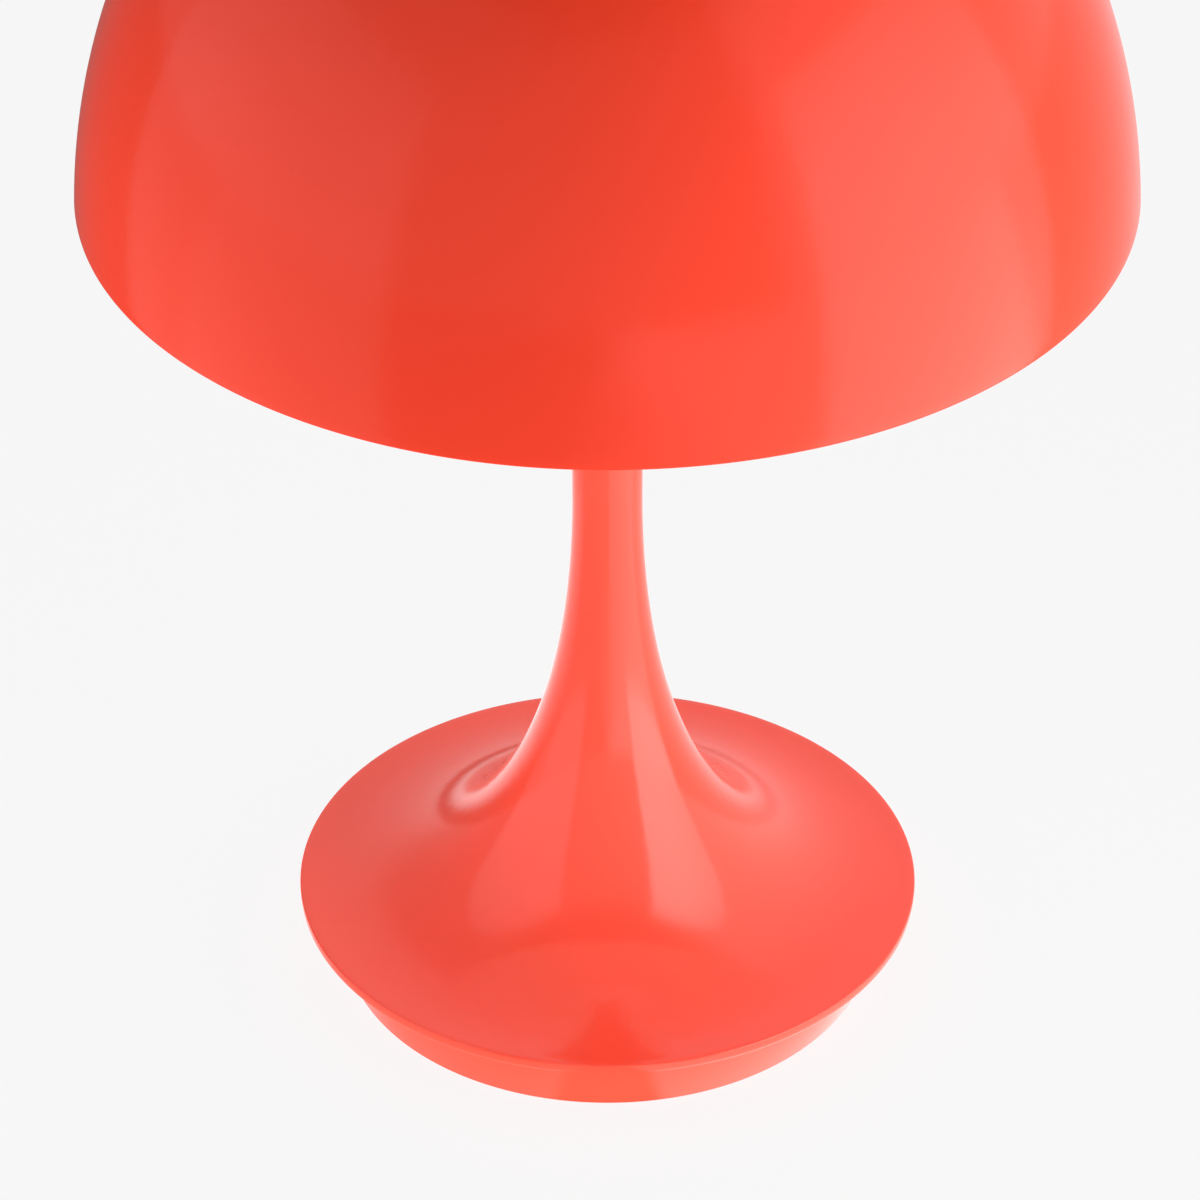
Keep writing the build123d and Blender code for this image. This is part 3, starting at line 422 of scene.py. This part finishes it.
def grainFinish(name, tone, **fixed):       # one noise gives the colour, the haze and the relief
    material, place, give = newFinish(name, **fixed)
    grain = place.noise(*tone["grain"])
    give(Base_Color=grain.mixed(*tone["colours"]), Roughness=grain * tone["haze"] + tone["matt"],
         Normal=grain.bump(*tone["relief"]))
    return material


sparkPlastic = grainFinish("sparkPlastic", {
    "colours": ((0.012, 0.012, 0.014), (0.022, 0.022, 0.024)), "grain": (2600, 3, 0.6), "haze": 0.15,
    "matt": 0.5, "relief": (0.4, 0.0003)}, IOR=1.46)
foilPouch = grainFinish("foilPouch", {
    "colours": ((0.50, 0.52, 0.55), (0.40, 0.42, 0.45)), "grain": (110, 6, 0.62), "haze": 0.2,
    "matt": 0.28, "relief": (0.5, 0.001)}, Metallic=0.75)

# small mouldings: light and dark colour, roughness and grain scale
mouldings = {
    "blackMoulding": ((0.014, 0.014, 0.015), (0.024, 0.024, 0.025), 0.42, 1800),
    "creamMoulding": ((0.76, 0.73, 0.64), (0.70, 0.67, 0.58), 0.38, 1800),
    "phosphorGel": ((0.88, 0.60, 0.09), (0.84, 0.66, 0.20), 0.22, 900),
    "blackJacket": ((0.016, 0.016, 0.018), (0.026, 0.026, 0.028), 0.46, 2400),
    "redJacket": ((0.42, 0.012, 0.010), (0.34, 0.010, 0.008), 0.40, 2400),
    "greySilicone": ((0.55, 0.55, 0.54), (0.48, 0.48, 0.47), 0.55, 2000),
}
moulded = {name: grainFinish(name, {"colours": (light, dark), "grain": (grain, 3, 0.6), "haze": 0.12,
                                    "matt": matt, "relief": (0.25, 0.0002)}, IOR=1.47)
           for name, (light, dark, matt, grain) in mouldings.items()}
print("finishes ready:", len(bpy.data.materials))


# shade: one curve from rim to crown, spun, given its wall and its rolled rim
shade = {"radius": 80, "rimZ": 144.4, "topZ": 230, "sideHandle": 44.8, "lean": 2.8, "crownHandle": 46.2,
         "wall": 1.0, "rimRound": 0.42, "rimBand": 0.2, "levelStep": 0.1}
lean = math.radians(shade["lean"])
sideUp = (shade["radius"] - shade["sideHandle"] * math.sin(lean),
          shade["rimZ"] + shade["sideHandle"] * math.cos(lean))
shadePiece = spin("shade", [
    (shade["radius"], shade["rimZ"], None, sideUp),
    (0, shade["topZ"], (shade["crownHandle"], shade["topZ"]), None),
], steps=288, smoothness=64, closed=False)
shadePiece.data.materials.append(shadeLacquer)
shadePiece.data.materials.append(whiteLining)
wall = shadePiece.modifiers.new("wall", "SOLIDIFY")
wall.thickness, wall.offset = shade["wall"] * mm, -1
wall.use_even_offset = True
wall.material_offset, wall.material_offset_rim = 1, 0
applyAll(shadePiece)
rimTop = (shade["rimZ"] + shade["rimBand"]) * mm


def onRim(edge):        # runs round the rim, and not across its wall
    a, b = (shadePiece.data.vertices[i].co for i in edge.vertices)
    outwards = abs(math.hypot(a.x, a.y) - math.hypot(b.x, b.y))
    return max(a.z, b.z) < rimTop and outwards < shade["levelStep"] * mm


pick(shadePiece, "EDGE", onRim)
bpy.ops.mesh.bevel(offset_type="OFFSET", offset=shade["rimRound"] * mm, segments=4, affect="EDGES")
bpy.ops.object.mode_set(mode="OBJECT")
finished(shadePiece, "shade", "shade_lacquer", [], "shade_shell")
print("shade:", len(shadePiece.data.polygons), "faces")


# stem and foot: trumpet outside, hollow inside, a thin lip
foot = {"stemR": 5.5, "boreR": 3.05, "stemTopZ": 152, "flareTopZ": 88.2, "flareDown": 35, "flareIn": 35.8,
        "upturn": 2.4, "edgeR": 50.2, "edgeZ": 13.95, "underZ": 11.95, "landR": 44,
        "hollowEdge": (43.89, 12.43), "hollowCurve": ((12.37, 15.67), (3.8, 54.42)), "hollowR": 3.8,
        "boreEndZ": 137, "lipTop": 0.3, "lipUnder": 0.85, "topEdge": 0.2, "screwR": 15,
        "screwAngles": (0, 120, 240), "bossR": 3.0, "bossZ": (23.9, 45), "bore": (23.8, 28.55, 1.45),
        "skin": (0.4, 0.5), "coreLowZ": 10}
turn = math.radians(foot["upturn"])
discIn = (foot["edgeR"] - foot["flareIn"] * math.cos(turn), foot["edgeZ"] - foot["flareIn"] * math.sin(turn))
hollowLow, hollowHigh = foot["hollowCurve"]
footPiece = spin("stemAndFoot", [
    (foot["boreR"], foot["stemTopZ"]),
    (foot["stemR"], foot["stemTopZ"]),
    (foot["stemR"], foot["flareTopZ"], None, (foot["stemR"], foot["flareTopZ"] - foot["flareDown"])),
    (foot["edgeR"], foot["edgeZ"], discIn, None),
    (foot["edgeR"], foot["underZ"]),
    (foot["landR"], foot["underZ"]),
    (*foot["hollowEdge"], None, hollowLow),
    (foot["hollowR"], foot["flareTopZ"], hollowHigh, None),
    (foot["hollowR"], foot["boreEndZ"]),
    (foot["boreR"], foot["boreEndZ"]),
], steps=288, smoothness=72)
bevelRing(footPiece, foot["edgeR"], foot["edgeZ"], foot["lipTop"])
bevelRing(footPiece, foot["edgeR"], foot["underZ"], foot["lipUnder"], 5)
bevelRing(footPiece, foot["stemR"], foot["stemTopZ"], foot["topEdge"])

# bosses for the weight's screws end inside the foot's wall, a skin short of its outside
inR, inZ = foot["skin"]
footCore = spin("footCore", [
    (0, foot["flareTopZ"] - inZ), (foot["stemR"] - inR, foot["flareTopZ"] - inZ, None,
                                   (foot["stemR"] - inR, foot["flareTopZ"] - foot["flareDown"] - inZ)),
    (foot["edgeR"] - inR, foot["edgeZ"] - inZ, (discIn[0] - inR, discIn[1] - inZ), None),
    (foot["edgeR"] - inR, foot["coreLowZ"]), (0, foot["coreLowZ"]),
], steps=192, smoothness=48)
screwSpots = around(foot["screwR"], foot["screwAngles"])
bosses = posts(screwSpots, *foot["bossZ"], foot["bossR"])
cut(bosses, footCore, "INTERSECT")
cut(footPiece, bosses, "UNION")
cut(footPiece, posts(screwSpots, *foot["bore"]))
finished(footPiece, "base", "coral_lacquer", [coralLacquer], "stem_and_foot")
print("stem and foot:", len(footPiece.data.polygons), "faces")


# drum: tapered ring with a plate, cut at the rear for the lid, the plug, the button and the light
drum = {"lowR": 43.1, "highR": 45.5, "lowZ": 0.5, "highZ": 11.95, "wall": 2, "plateZ": 9.95, "holeR": 9,
        "portZ": 7.17, "recessY": 42.698, "recessX": (-10.9, 7.6), "recessHalf": 3.4, "channelX": -6.9,
        "channelY": 41.136, "clearY": 52, "nailX": 7.6, "nailY": 44.88, "nailR": 2.2,
        "plugHalf": (4.62, 1.73), "plugCut": (14, 40), "buttonAngle": 64, "buttonHalf": (5.2, 2.5),
        "buttonCut": (12, 44), "pipeAngle": 111, "pipeR": 1.05, "pipeCut": (14, 44), "edge": 0.25, "skin": 0.15,
        "boss": ((-12.3, 39.4, 3.0), (10.4, 46.0, 10.15)), "coverR": 36, "coverAngles": (30, 150, 210, 330),
        "coverBossR": 2.75, "coverBossZ": (3.0, 10.4), "coverBore": (2.9, 8.2, 1.2), "screwR": 26,
        "screwAngles": (45, 135, 225, 315), "sink": (9.9, 11.45, 2.997, 1.55), "sinkBore": (11.4, 12.0, 1.55),
        "boardSpots": ((21, 26), (-21, 26)), "boardBore": (9.9, 11.35, 0.95), "pinSpot": (-8.2, 42.436),
        "pinBore": (2.9, 11.37, 0.55)}


def drumRadius(z):
    return drum["lowR"] + (drum["highR"] - drum["lowR"]) * (z - drum["lowZ"]) / (drum["highZ"] - drum["lowZ"])


drumPiece = spin("drum", [
    (drum["lowR"], drum["lowZ"]), (drum["highR"], drum["highZ"]), (drum["holeR"], drum["highZ"]),
    (drum["holeR"], drum["plateZ"]), (drumRadius(drum["plateZ"]) - drum["wall"], drum["plateZ"]),
    (drum["lowR"] - drum["wall"], drum["lowZ"]),
], steps=288)
bevelRing(drumPiece, drum["lowR"], drum["lowZ"], drum["edge"])
bevelRing(drumPiece, drum["highR"], drum["highZ"], drum["edge"])
portZ = drum["portZ"]
coreLow, coreHigh = drum["lowR"] - drum["skin"], drum["highR"] - drum["skin"]
core = spin("core", [(0, drum["lowZ"] - 1), (coreLow, drum["lowZ"] - 1), (coreLow, drum["lowZ"]),
                     (coreHigh, drum["highZ"]), (0, drum["highZ"])], steps=288)
boss = block(*drum["boss"])
cut(boss, core, "INTERSECT")
cut(drumPiece, boss, "UNION")       # the wall is thicker behind the lid

# the lid's recess, with a deeper channel for its knuckle
lowEnd, highEnd = portZ - drum["recessHalf"], portZ + drum["recessHalf"]
leftX, rightX = drum["recessX"]
cut(drumPiece, block((leftX, drum["recessY"], lowEnd), (rightX, drum["clearY"], highEnd)))
cut(drumPiece, block((leftX, drum["channelY"], lowEnd), (drum["channelX"], drum["clearY"], highEnd)))


def pill(name, halfWide, halfHigh, depth, corners=48):      # lies along X, its axis along Y
    nothingSelected()
    bpy.ops.mesh.primitive_cylinder_add(vertices=corners, radius=halfHigh * mm, depth=depth * mm,
                                        rotation=(math.pi / 2, 0, 0))
    piece = bpy.context.object
    piece.name = name
    settle(piece)
    stretch = (halfWide - halfHigh) * mm
    for side in (-1, 1):
        pick(piece, "VERT", lambda vertex: vertex.co.x * side > 1e-6)
        bpy.ops.transform.translate(value=(side * stretch, 0, 0))
        bpy.ops.object.mode_set(mode="OBJECT")
    return piece


def facing(piece, angle, radius, z):        # turns a piece made along +Y out along an angle of the drum
    piece.matrix_world = (Matrix.Rotation(math.radians(angle - 90), 4, "Z")
                          @ Matrix.Translation((0, radius * mm, z * mm)) @ piece.matrix_world)
    settle(piece)
    return piece


# screw bosses, then bores and countersinks as (low, high, radius low, radius high)
coverSpots = around(drum["coverR"], drum["coverAngles"])
sinkSpots = around(drum["screwR"], drum["screwAngles"])
cut(drumPiece, posts(coverSpots, *drum["coverBossZ"], drum["coverBossR"]), "UNION")
for spots, name in ((coverSpots, "coverBore"), (sinkSpots, "sink"), (sinkSpots, "sinkBore"),
                    (drum["boardSpots"], "boardBore"), ([drum["pinSpot"]], "pinBore")):
    cut(drumPiece, posts(spots, *drum[name]))

# holes out through the wall: half width and height, angle, and the cut's length and middle radius
roundPill = (drum["pipeR"] + 0.001, drum["pipeR"])       # a hair wider than high
for name, halves, angle, (length, middleR) in (
        ("plugHole", drum["plugHalf"], 90, drum["plugCut"]),
        ("buttonHole", drum["buttonHalf"], drum["buttonAngle"], drum["buttonCut"]),
        ("lightHole", roundPill, drum["pipeAngle"], drum["pipeCut"])):
    cut(drumPiece, facing(pill(name, *halves, length), angle, middleR, portZ))
nothingSelected()
bpy.ops.mesh.primitive_uv_sphere_add(segments=48, ring_count=24, radius=drum["nailR"] * mm,
                                     location=(drum["nailX"] * mm, drum["nailY"] * mm, portZ * mm))
nailNotch = bpy.context.object
settle(nailNotch)
cut(drumPiece, nailNotch)
finished(drumPiece, "base", "coral_lacquer", [coralLacquer], "drum_housing")
print("drum:", len(drumPiece.data.polygons), "faces")


# lid over the charging socket: a slice of the drum's side with a knuckle on its pin
lid = {"x": (-8.2, 7.4), "y": (42.898, 46), "z": (3.97, 10.37), "faceFromY": 45, "pinY": 42.436,
       "knuckleR": 1.1, "boreR": 0.56, "bore": (1.17, 13.17), "steps": 24}
hingeX, freeX = lid["x"]
lidPiece = block(*zip(lid["x"], lid["y"], lid["z"]), "portLid")
takeUp(lidPiece)
bpy.ops.object.mode_set(mode="EDIT")
for step in range(1, lid["steps"]):      # slices across the lid, so that it can follow the drum
    bpy.ops.mesh.select_all(action="SELECT")
    x = (hingeX + (freeX - hingeX) * step / lid["steps"]) * mm
    bpy.ops.mesh.bisect(plane_co=(x, 0, 0), plane_no=(1, 0, 0))
bpy.ops.object.mode_set(mode="OBJECT")
for vertex in lidPiece.data.vertices:
    if vertex.co.y > lid["faceFromY"] * mm:
        vertex.co.y = math.sqrt((drumRadius(vertex.co.z / mm) * mm) ** 2 - vertex.co.x ** 2)
pinSpot = [(hingeX, lid["pinY"])]
cut(lidPiece, posts(pinSpot, *lid["z"], lid["knuckleR"], corners=48), "UNION")
cut(lidPiece, posts(pinSpot, *lid["bore"], lid["boreR"], corners=32))
finished(lidPiece, "port_lid", "flap_rubber", [coralSilicone], "port_flap")
print("lid:", len(lidPiece.data.polygons), "faces")


# push button: a pill whose end follows the drum, with a shallow dish
button = {"half": (5.0, 2.3), "long": 6.0, "faceDepth": 1, "proud": 0.7, "innerR": 40.29, "round": 0.4,
          "dishRings": ((0.5, 0), (0.25, 0), (0.35, -0.11), (0.35, -0.11), (0.25, 0)), "ears": (12.6, 1.0)}
buttonPiece = pill("buttonCap", *button["half"], button["long"])
pick(buttonPiece, "FACE", lambda face: face.normal.y > 0.9)
for width, push in button["dishRings"]:
    bpy.ops.mesh.inset(thickness=width * mm, depth=push * mm)
bpy.ops.object.mode_set(mode="OBJECT")
facing(buttonPiece, 90, button["innerR"] + button["long"] / 2, portZ)
topY = (button["innerR"] + button["long"]) * mm
for vertex in buttonPiece.data.vertices:
    if vertex.co.y > topY - button["faceDepth"] * mm:
        dent = topY - vertex.co.y
        out = drumRadius(vertex.co.z / mm) * mm + button["proud"] * mm
        vertex.co.y = math.sqrt(out ** 2 - vertex.co.x ** 2) - dent
    else:
        vertex.co.y = button["innerR"] * mm
soften = buttonPiece.modifiers.new("soften", "BEVEL")
soften.width, soften.segments = button["round"] * mm, 4
soften.limit_method, soften.angle_limit = "ANGLE", math.radians(50)
applyAll(buttonPiece)
earSpan, earDeep = button["ears"]       # two ears keep the cap from falling out
halfHigh = button["half"][1]
ears = block((-earSpan / 2, button["innerR"], portZ - halfHigh),
             (earSpan / 2, button["innerR"] + earDeep, portZ + halfHigh))
cut(buttonPiece, ears, "UNION")
facing(buttonPiece, drum["buttonAngle"], 0, 0)
finished(buttonPiece, "button", "button_plastic", [coralMoulding], "button_cap")
print("button:", len(buttonPiece.data.polygons), "faces")


# light head under the shade
cup = {"hubR": 8.5, "hubZ": 148, "stemR": 5.55, "stemTopZ": 152, "tubeR": 3.05, "floorZ": 158, "brimR": 25,
       "brimZ": 157, "lipZ": 162, "lipR": 23.4, "sweep": ((15.333, 156.667), (9.833, 153.667)), "edge": 0.3}
cupPiece = spin("headCup", [
    (cup["tubeR"], cup["floorZ"]), (cup["lipR"], cup["floorZ"]), (cup["lipR"], cup["lipZ"]),
    (cup["brimR"], cup["lipZ"]), (cup["brimR"], cup["brimZ"], None, cup["sweep"][0]),
    (cup["hubR"], cup["hubZ"], cup["sweep"][1], None),
    (cup["stemR"], cup["hubZ"]), (cup["stemR"], cup["stemTopZ"]), (cup["tubeR"], cup["stemTopZ"]),
], steps=192)
for r, z in (("lipR", "lipZ"), ("brimR", "lipZ"), ("brimR", "brimZ"), ("hubR", "hubZ")):
    bevelRing(cupPiece, cup[r], cup[z], cup["edge"])
finished(cupPiece, "base", "aluminium_head", [turnedWhite], "head_cup")

# opal cap: arc is the handle's share of the radius that makes a quarter circle
globe = {"r": 23.1, "lowZ": 159, "topZ": 197, "round": 9, "wall": 1.8, "holeR": 3.2, "arc": 0.5523,
         "edge": 0.3}
arcOut, arcIn = globe["round"] * globe["arc"], (globe["round"] - globe["wall"]) * globe["arc"]
flatR, bendZ = globe["r"] - globe["round"], globe["topZ"] - globe["round"]
innerR, innerTop = globe["r"] - globe["wall"], globe["topZ"] - globe["wall"]
globePiece = spin("diffuserGlobe", [
    (globe["r"], globe["lowZ"]), (globe["r"], bendZ, None, (globe["r"], bendZ + arcOut)),
    (flatR, globe["topZ"], (flatR + arcOut, globe["topZ"]), None), (globe["holeR"], globe["topZ"]),
    (globe["holeR"], innerTop), (flatR, innerTop, None, (flatR + arcIn, innerTop)),
    (innerR, bendZ, (innerR, bendZ + arcIn), None), (innerR, globe["lowZ"]),
], steps=192)
bevelRing(globePiece, globe["r"], globe["lowZ"], globe["edge"])
bevelRing(globePiece, globe["holeR"], globe["topZ"], globe["edge"])
finished(globePiece, "base", "opal_plastic", [opalAcrylic], "diffuser")

# the shade's seat: a flange with the magnet's groove, and a spigot with a tapered nose
seat = {"tubeR": 3.05, "hubR": 5.5, "hubZ": 206, "flangeR": 9.5, "flangeZ": 210, "faceZ": 214, "spigotR": 5,
        "topZ": 221, "nose": 1.0, "grooveR": (6.35, 8.45), "grooveZ": 211.8, "boreTopZ": 216, "edge": 0.3}
grooveIn, grooveOut = seat["grooveR"]
seatPiece = spin("shadeSeat", [
    (seat["tubeR"], seat["hubZ"]), (seat["hubR"], seat["hubZ"]), (seat["hubR"], seat["flangeZ"]),
    (seat["flangeR"], seat["flangeZ"]), (seat["flangeR"], seat["faceZ"]), (grooveOut, seat["faceZ"]),
    (grooveOut, seat["grooveZ"]), (grooveIn, seat["grooveZ"]), (grooveIn, seat["faceZ"]),
    (seat["spigotR"], seat["faceZ"]), (seat["spigotR"], seat["topZ"] - seat["nose"]),
    (seat["spigotR"] - seat["nose"], seat["topZ"]), (0, seat["topZ"]), (0, seat["boreTopZ"]),
    (seat["tubeR"], seat["boreTopZ"]),
], steps=128)
bevelRing(seatPiece, seat["flangeR"], seat["flangeZ"], seat["edge"])
bevelRing(seatPiece, seat["flangeR"], seat["faceZ"], seat["edge"])
finished(seatPiece, "base", "steel_plated", [zincSteel], "shade_seat")

pad = {"outer": 39.6, "inner": 29.6, "thick": 1.2, "edge": 0.25}
padPiece = spin("footPad", [
    (pad["inner"], 0), (pad["outer"], 0), (pad["outer"], pad["thick"]), (pad["inner"], pad["thick"]),
], steps=192)
bevelRing(padPiece, pad["outer"], 0, pad["edge"])
bevelRing(padPiece, pad["inner"], 0, pad["edge"])
finished(padPiece, "base", "pad_rubber", [padRubber], "foot_pad")
print("light head, seat and pad done")


# finishes of the pieces that stay as they are
kept = {
    turnedWhite: ["shade_socket"],
    nickelMagnet: ["shade_magnet", "seat_magnet"],
    sparkPlastic: ["bottom_cover"],
    castIron: ["ballast_weight"],
    zincSteel: ["ballast_screws", "housing_screws", "cover_screws", "board_screws", "led_screws", "usb_shell",
                "flap_pin", "carrier_tube", "head_nut", "diffuser_nut"],
    foilPouch: ["battery_cell"],
    greyFoam: ["battery_foam"],
    moulded["redJacket"]: ["battery_leads"],
    greenBoard: ["control_board"],
    whiteBoard: ["led_board"],
    moulded["creamMoulding"]: ["board_headers", "switch_plunger", "led_socket"],
    moulded["blackMoulding"]: ["board_parts", "usb_tongue", "tact_switch"],
    moulded["phosphorGel"]: ["led_chips"],
    moulded["blackJacket"]: ["led_cable"],
    moulded["greySilicone"]: ["diffuser_gasket"],
    clearGuide: ["light_pipe"],
}
for finish, names in kept.items():
    for name in names:
        piece = nodes[name]
        if not piece.material_slots:
            piece.data.materials.append(finish)
        for slot in piece.material_slots:
            slot.material = finish
print("finishes given to", sum(len(names) for names in kept.values()), "carried pieces")


# studio, in metres: a pale floor, a low ring of light round the lamp, a dark ceiling and a white card on
# either side; the backdrop's tones are what the camera sees of the floor, and of the world past it
backdropTone = {"floor": 0.945, "beyond": 0.93}
ground = {"radius": 4.0, "drop": 0.0001, "shadowShare": 0.045, "white": 0.8, "glow": (2.1, 0.5),
          "glowReach": (0.06, 0.20), "mirrorReach": (0.08, 0.24), "nearFront": (0.45, 1.6),
          "nearBack": (1.5, 1.1), "farFront": (0.5, 2.4), "farBack": (0.16, 0.75), "nearSides": (-0.02, 0.03),
          "farSides": (-0.12, 0.20), "frontToBack": (-0.03, 0.02), "shadowStripe": (0.0065, 0.0105),
          "shadowStripeGlow": 0.0}


def grey(value):
    return (value,) * 3


def floorFinish():
    # the camera sees an even pale floor with the shadow; gloss sees a glow that differs by side, near and far,
    # with a dark stripe in the middle that is painted shadow of the lamp; all else sees a white floor
    # that glows under the lamp
    material = bpy.data.materials.new("paleFloor")
    material.use_nodes = True
    tree = material.node_tree
    tree.nodes.remove(tree.nodes["Principled BSDF"])
    path = tree.nodes.new("ShaderNodeLightPath")
    seen, mirrored = Tone(tree, path.outputs["Is Camera Ray"]), Tone(tree, path.outputs["Is Glossy Ray"])
    through = Tone(tree, path.outputs["Is Transmission Ray"])
    matt = seen.node("ShaderNodeBsdfDiffuse", None, {"Color": grey(ground["white"])})
    pale = seen.node("ShaderNodeEmission", None, {"Color": grey(backdropTone["floor"]), "Strength": 1.0})
    spot = Tone(tree, tree.nodes.new("ShaderNodeTexCoord").outputs["Object"])
    away = (spot.axis("X") ** 2 + spot.axis("Y") ** 2) ** 0.5
    light = away.between(*ground["glowReach"]).mixed(*[grey(value) for value in ground["glow"]])
    back = spot.axis("Y").between(*ground["frontToBack"])
    rows = []
    for span, names in (("nearSides", ("nearFront", "nearBack")), ("farSides", ("farFront", "farBack"))):
        right = spot.axis("X").between(*ground[span])
        rows.append(back.mixed(*[right.mixed(*[grey(value) for value in ground[name]]) for name in names]))
    # painted shadow: the near glow goes dark in a thin stripe in the middle of the front
    middle = spot.sum("ABSOLUTE", spot.axis("X")).between(*ground["shadowStripe"])
    rows[0] = (1 - (1 - middle) * (1 - back)).mixed(grey(ground["shadowStripeGlow"]), rows[0])
    shine = away.between(*ground["mirrorReach"]).mixed(*rows)
    toLamp = seen.node("ShaderNodeAddShader", None, {
        0: matt, 1: seen.node("ShaderNodeEmission", None, {"Color": light, "Strength": 1.0})})
    toGloss = seen.node("ShaderNodeEmission", None, {"Color": shine, "Strength": 1.0})
    toEye = seen.node("ShaderNodeMixShader", None, {0: 1 - ground["shadowShare"], 1: matt, 2: pale})
    both = seen.node("ShaderNodeMixShader", None, {0: mirrored, 1: toLamp, 2: toGloss})
    both = seen.node("ShaderNodeMixShader", None, {0: seen.sum("MAXIMUM", seen, through), 1: both, 2: toEye})
    tree.links.new(both.socket, tree.nodes["Material Output"].inputs["Surface"])
    return material


nothingSelected()
bpy.ops.mesh.primitive_circle_add(vertices=128, radius=ground["radius"], fill_type="NGON",
                                  location=(0, 0, -ground["drop"]))
floor = bpy.context.object
floor.name = "floor"
settle(floor)
floor.data.materials.append(floorFinish())

# ring of light: brightness by compass place, with the camera's side at 0.5 and the right side past it; the
# tops are the heights where it ends, for plain light and in gloss, and it is higher at the back than in front
ring = {"stops": [(0.00, 1.1), (0.06, 1.0), (0.10, 0.55), (0.195, 0.55), (0.21, 0.8), (0.39, 0.9),
                  (0.50, 0.95), (0.600, 1.0), (0.608, 2.1), (0.70, 2.0), (0.76, 1.6), (0.86, 1.4),
                  (0.95, 1.1)],
        "level": 1.04, "lean": 10, "top": (0.38, 0.86), "mirrorTop": (0.78, 0.94), "ceiling": 0.05,
        "mirrorCeiling": 0.28}
world = bpy.data.worlds.new("studio")
bpy.context.scene.world = world
world.use_nodes = True
tree = world.node_tree
backdrop = tree.nodes["Background"]
path = tree.nodes.new("ShaderNodeLightPath")
seen, mirrored = Tone(tree, path.outputs["Is Camera Ray"]), Tone(tree, path.outputs["Is Glossy Ray"])
through = Tone(tree, path.outputs["Is Transmission Ray"])
way = Tone(tree, tree.nodes.new("ShaderNodeTexCoord").outputs["Generated"])
compass = way.sum("ARCTAN2", way.axis("X"), -1 * way.axis("Y")) / (2 * math.pi) + 0.5
stops = [(place, grey(value)) for place, value in ring["stops"]]
band = way.node("ShaderNodeValToRGB", {"stops": stops}, {0: compass})
tilt = math.radians(ring["lean"])
height = way.axis("Z") * math.cos(tilt) - way.axis("Y") * math.sin(tilt)
strong = way.node("ShaderNodeVectorMath", {"operation": "SCALE"}, {"Vector": band, "Scale": ring["level"]})
light = height.between(*ring["top"]).mixed(strong, grey(ring["ceiling"]))
shine = height.between(*ring["mirrorTop"]).mixed(band, grey(ring["mirrorCeiling"]))
clear = seen.sum("MAXIMUM", seen, through)
surround = clear.mixed(mirrored.mixed(light, shine), grey(backdropTone["beyond"]))
Tone.plug(tree, backdrop.inputs["Color"], surround)
backdrop.inputs["Strength"].default_value = 1.0

# cards: azimuth 0 is the camera's side, positive to the right; side is 1 or -1, where the inner edge is
cards = {
    "leftCard": {"azimuth": -72, "distance": 0.22, "wide": 0.28, "high": 0.31, "light": 0.8, "side": 1},
    "rightCard": {"azimuth": 64, "distance": 0.22, "wide": 0.215, "high": 0.31, "light": 2.3, "side": -1},
}
cardFade = {"across": (0.35, 1.1), "acrossLoss": 0.4, "up": (0.6, 1.1), "upLoss": 0.5}


def card(name, azimuth, distance, wide, high, light, side):
    # a white card that stands on the floor beside the lamp, brightest low down along its inner edge
    a = math.radians(azimuth)
    out = Vector((math.sin(a), -math.cos(a), 0))
    nothingSelected()
    bpy.ops.object.light_add(type="AREA", location=out * distance + Vector((0, 0, high / 2)))
    lamp = bpy.context.object
    lamp.name = name
    lamp.data.shape = "RECTANGLE"
    lamp.data.size, lamp.data.size_y = wide, high
    lamp.data.energy = math.pi * wide * high * light
    lamp.rotation_euler = (math.pi / 2, 0, math.atan2(out.y, out.x) + math.pi / 2)
    lamp.visible_camera = False
    lamp.data.use_nodes = True
    tree = lamp.data.node_tree
    glow = tree.nodes["Emission"]
    spot = Tone(tree, tree.nodes.new("ShaderNodeNewGeometry").outputs["Parametric"])
    across = 1 - spot.axis("X") if side > 0 else spot.axis("X")
    sideFade = 1 - across.between(*cardFade["across"]) * cardFade["acrossLoss"]
    topFade = 1 - spot.axis("Y").between(*cardFade["up"]) * cardFade["upLoss"]
    Tone.plug(tree, glow.inputs["Strength"], sideFade * topFade)


for name, values in cards.items():
    card(name, **values)
print("studio lit")


# camera: the photograph's own place and lens; focal and width are its pixels, sensor and nearClip millimetres
view = {"place": (-1.169, -736.77, 574.41), "down": 34.516, "roll": 0.062, "focal": 5656, "width": 1200,
        "sensor": 36, "nearClip": 10}
bpy.ops.object.camera_add(location=[value * mm for value in view["place"]])
camera = bpy.context.object
pitch = Matrix.Rotation(math.radians(90 - view["down"]), 4, "X")
camera.rotation_euler = (pitch @ Matrix.Rotation(math.radians(-view["roll"]), 4, "Z")).to_euler()
camera.data.sensor_fit = "HORIZONTAL"
camera.data.sensor_width = view["sensor"]
camera.data.lens = view["focal"] / view["width"] * view["sensor"]
camera.data.clip_start = view["nearClip"] * mm
bpy.context.scene.camera = camera
bpy.context.scene.view_settings.view_transform = "Standard"

for piece in bpy.data.objects:
    piece.select_set(False)
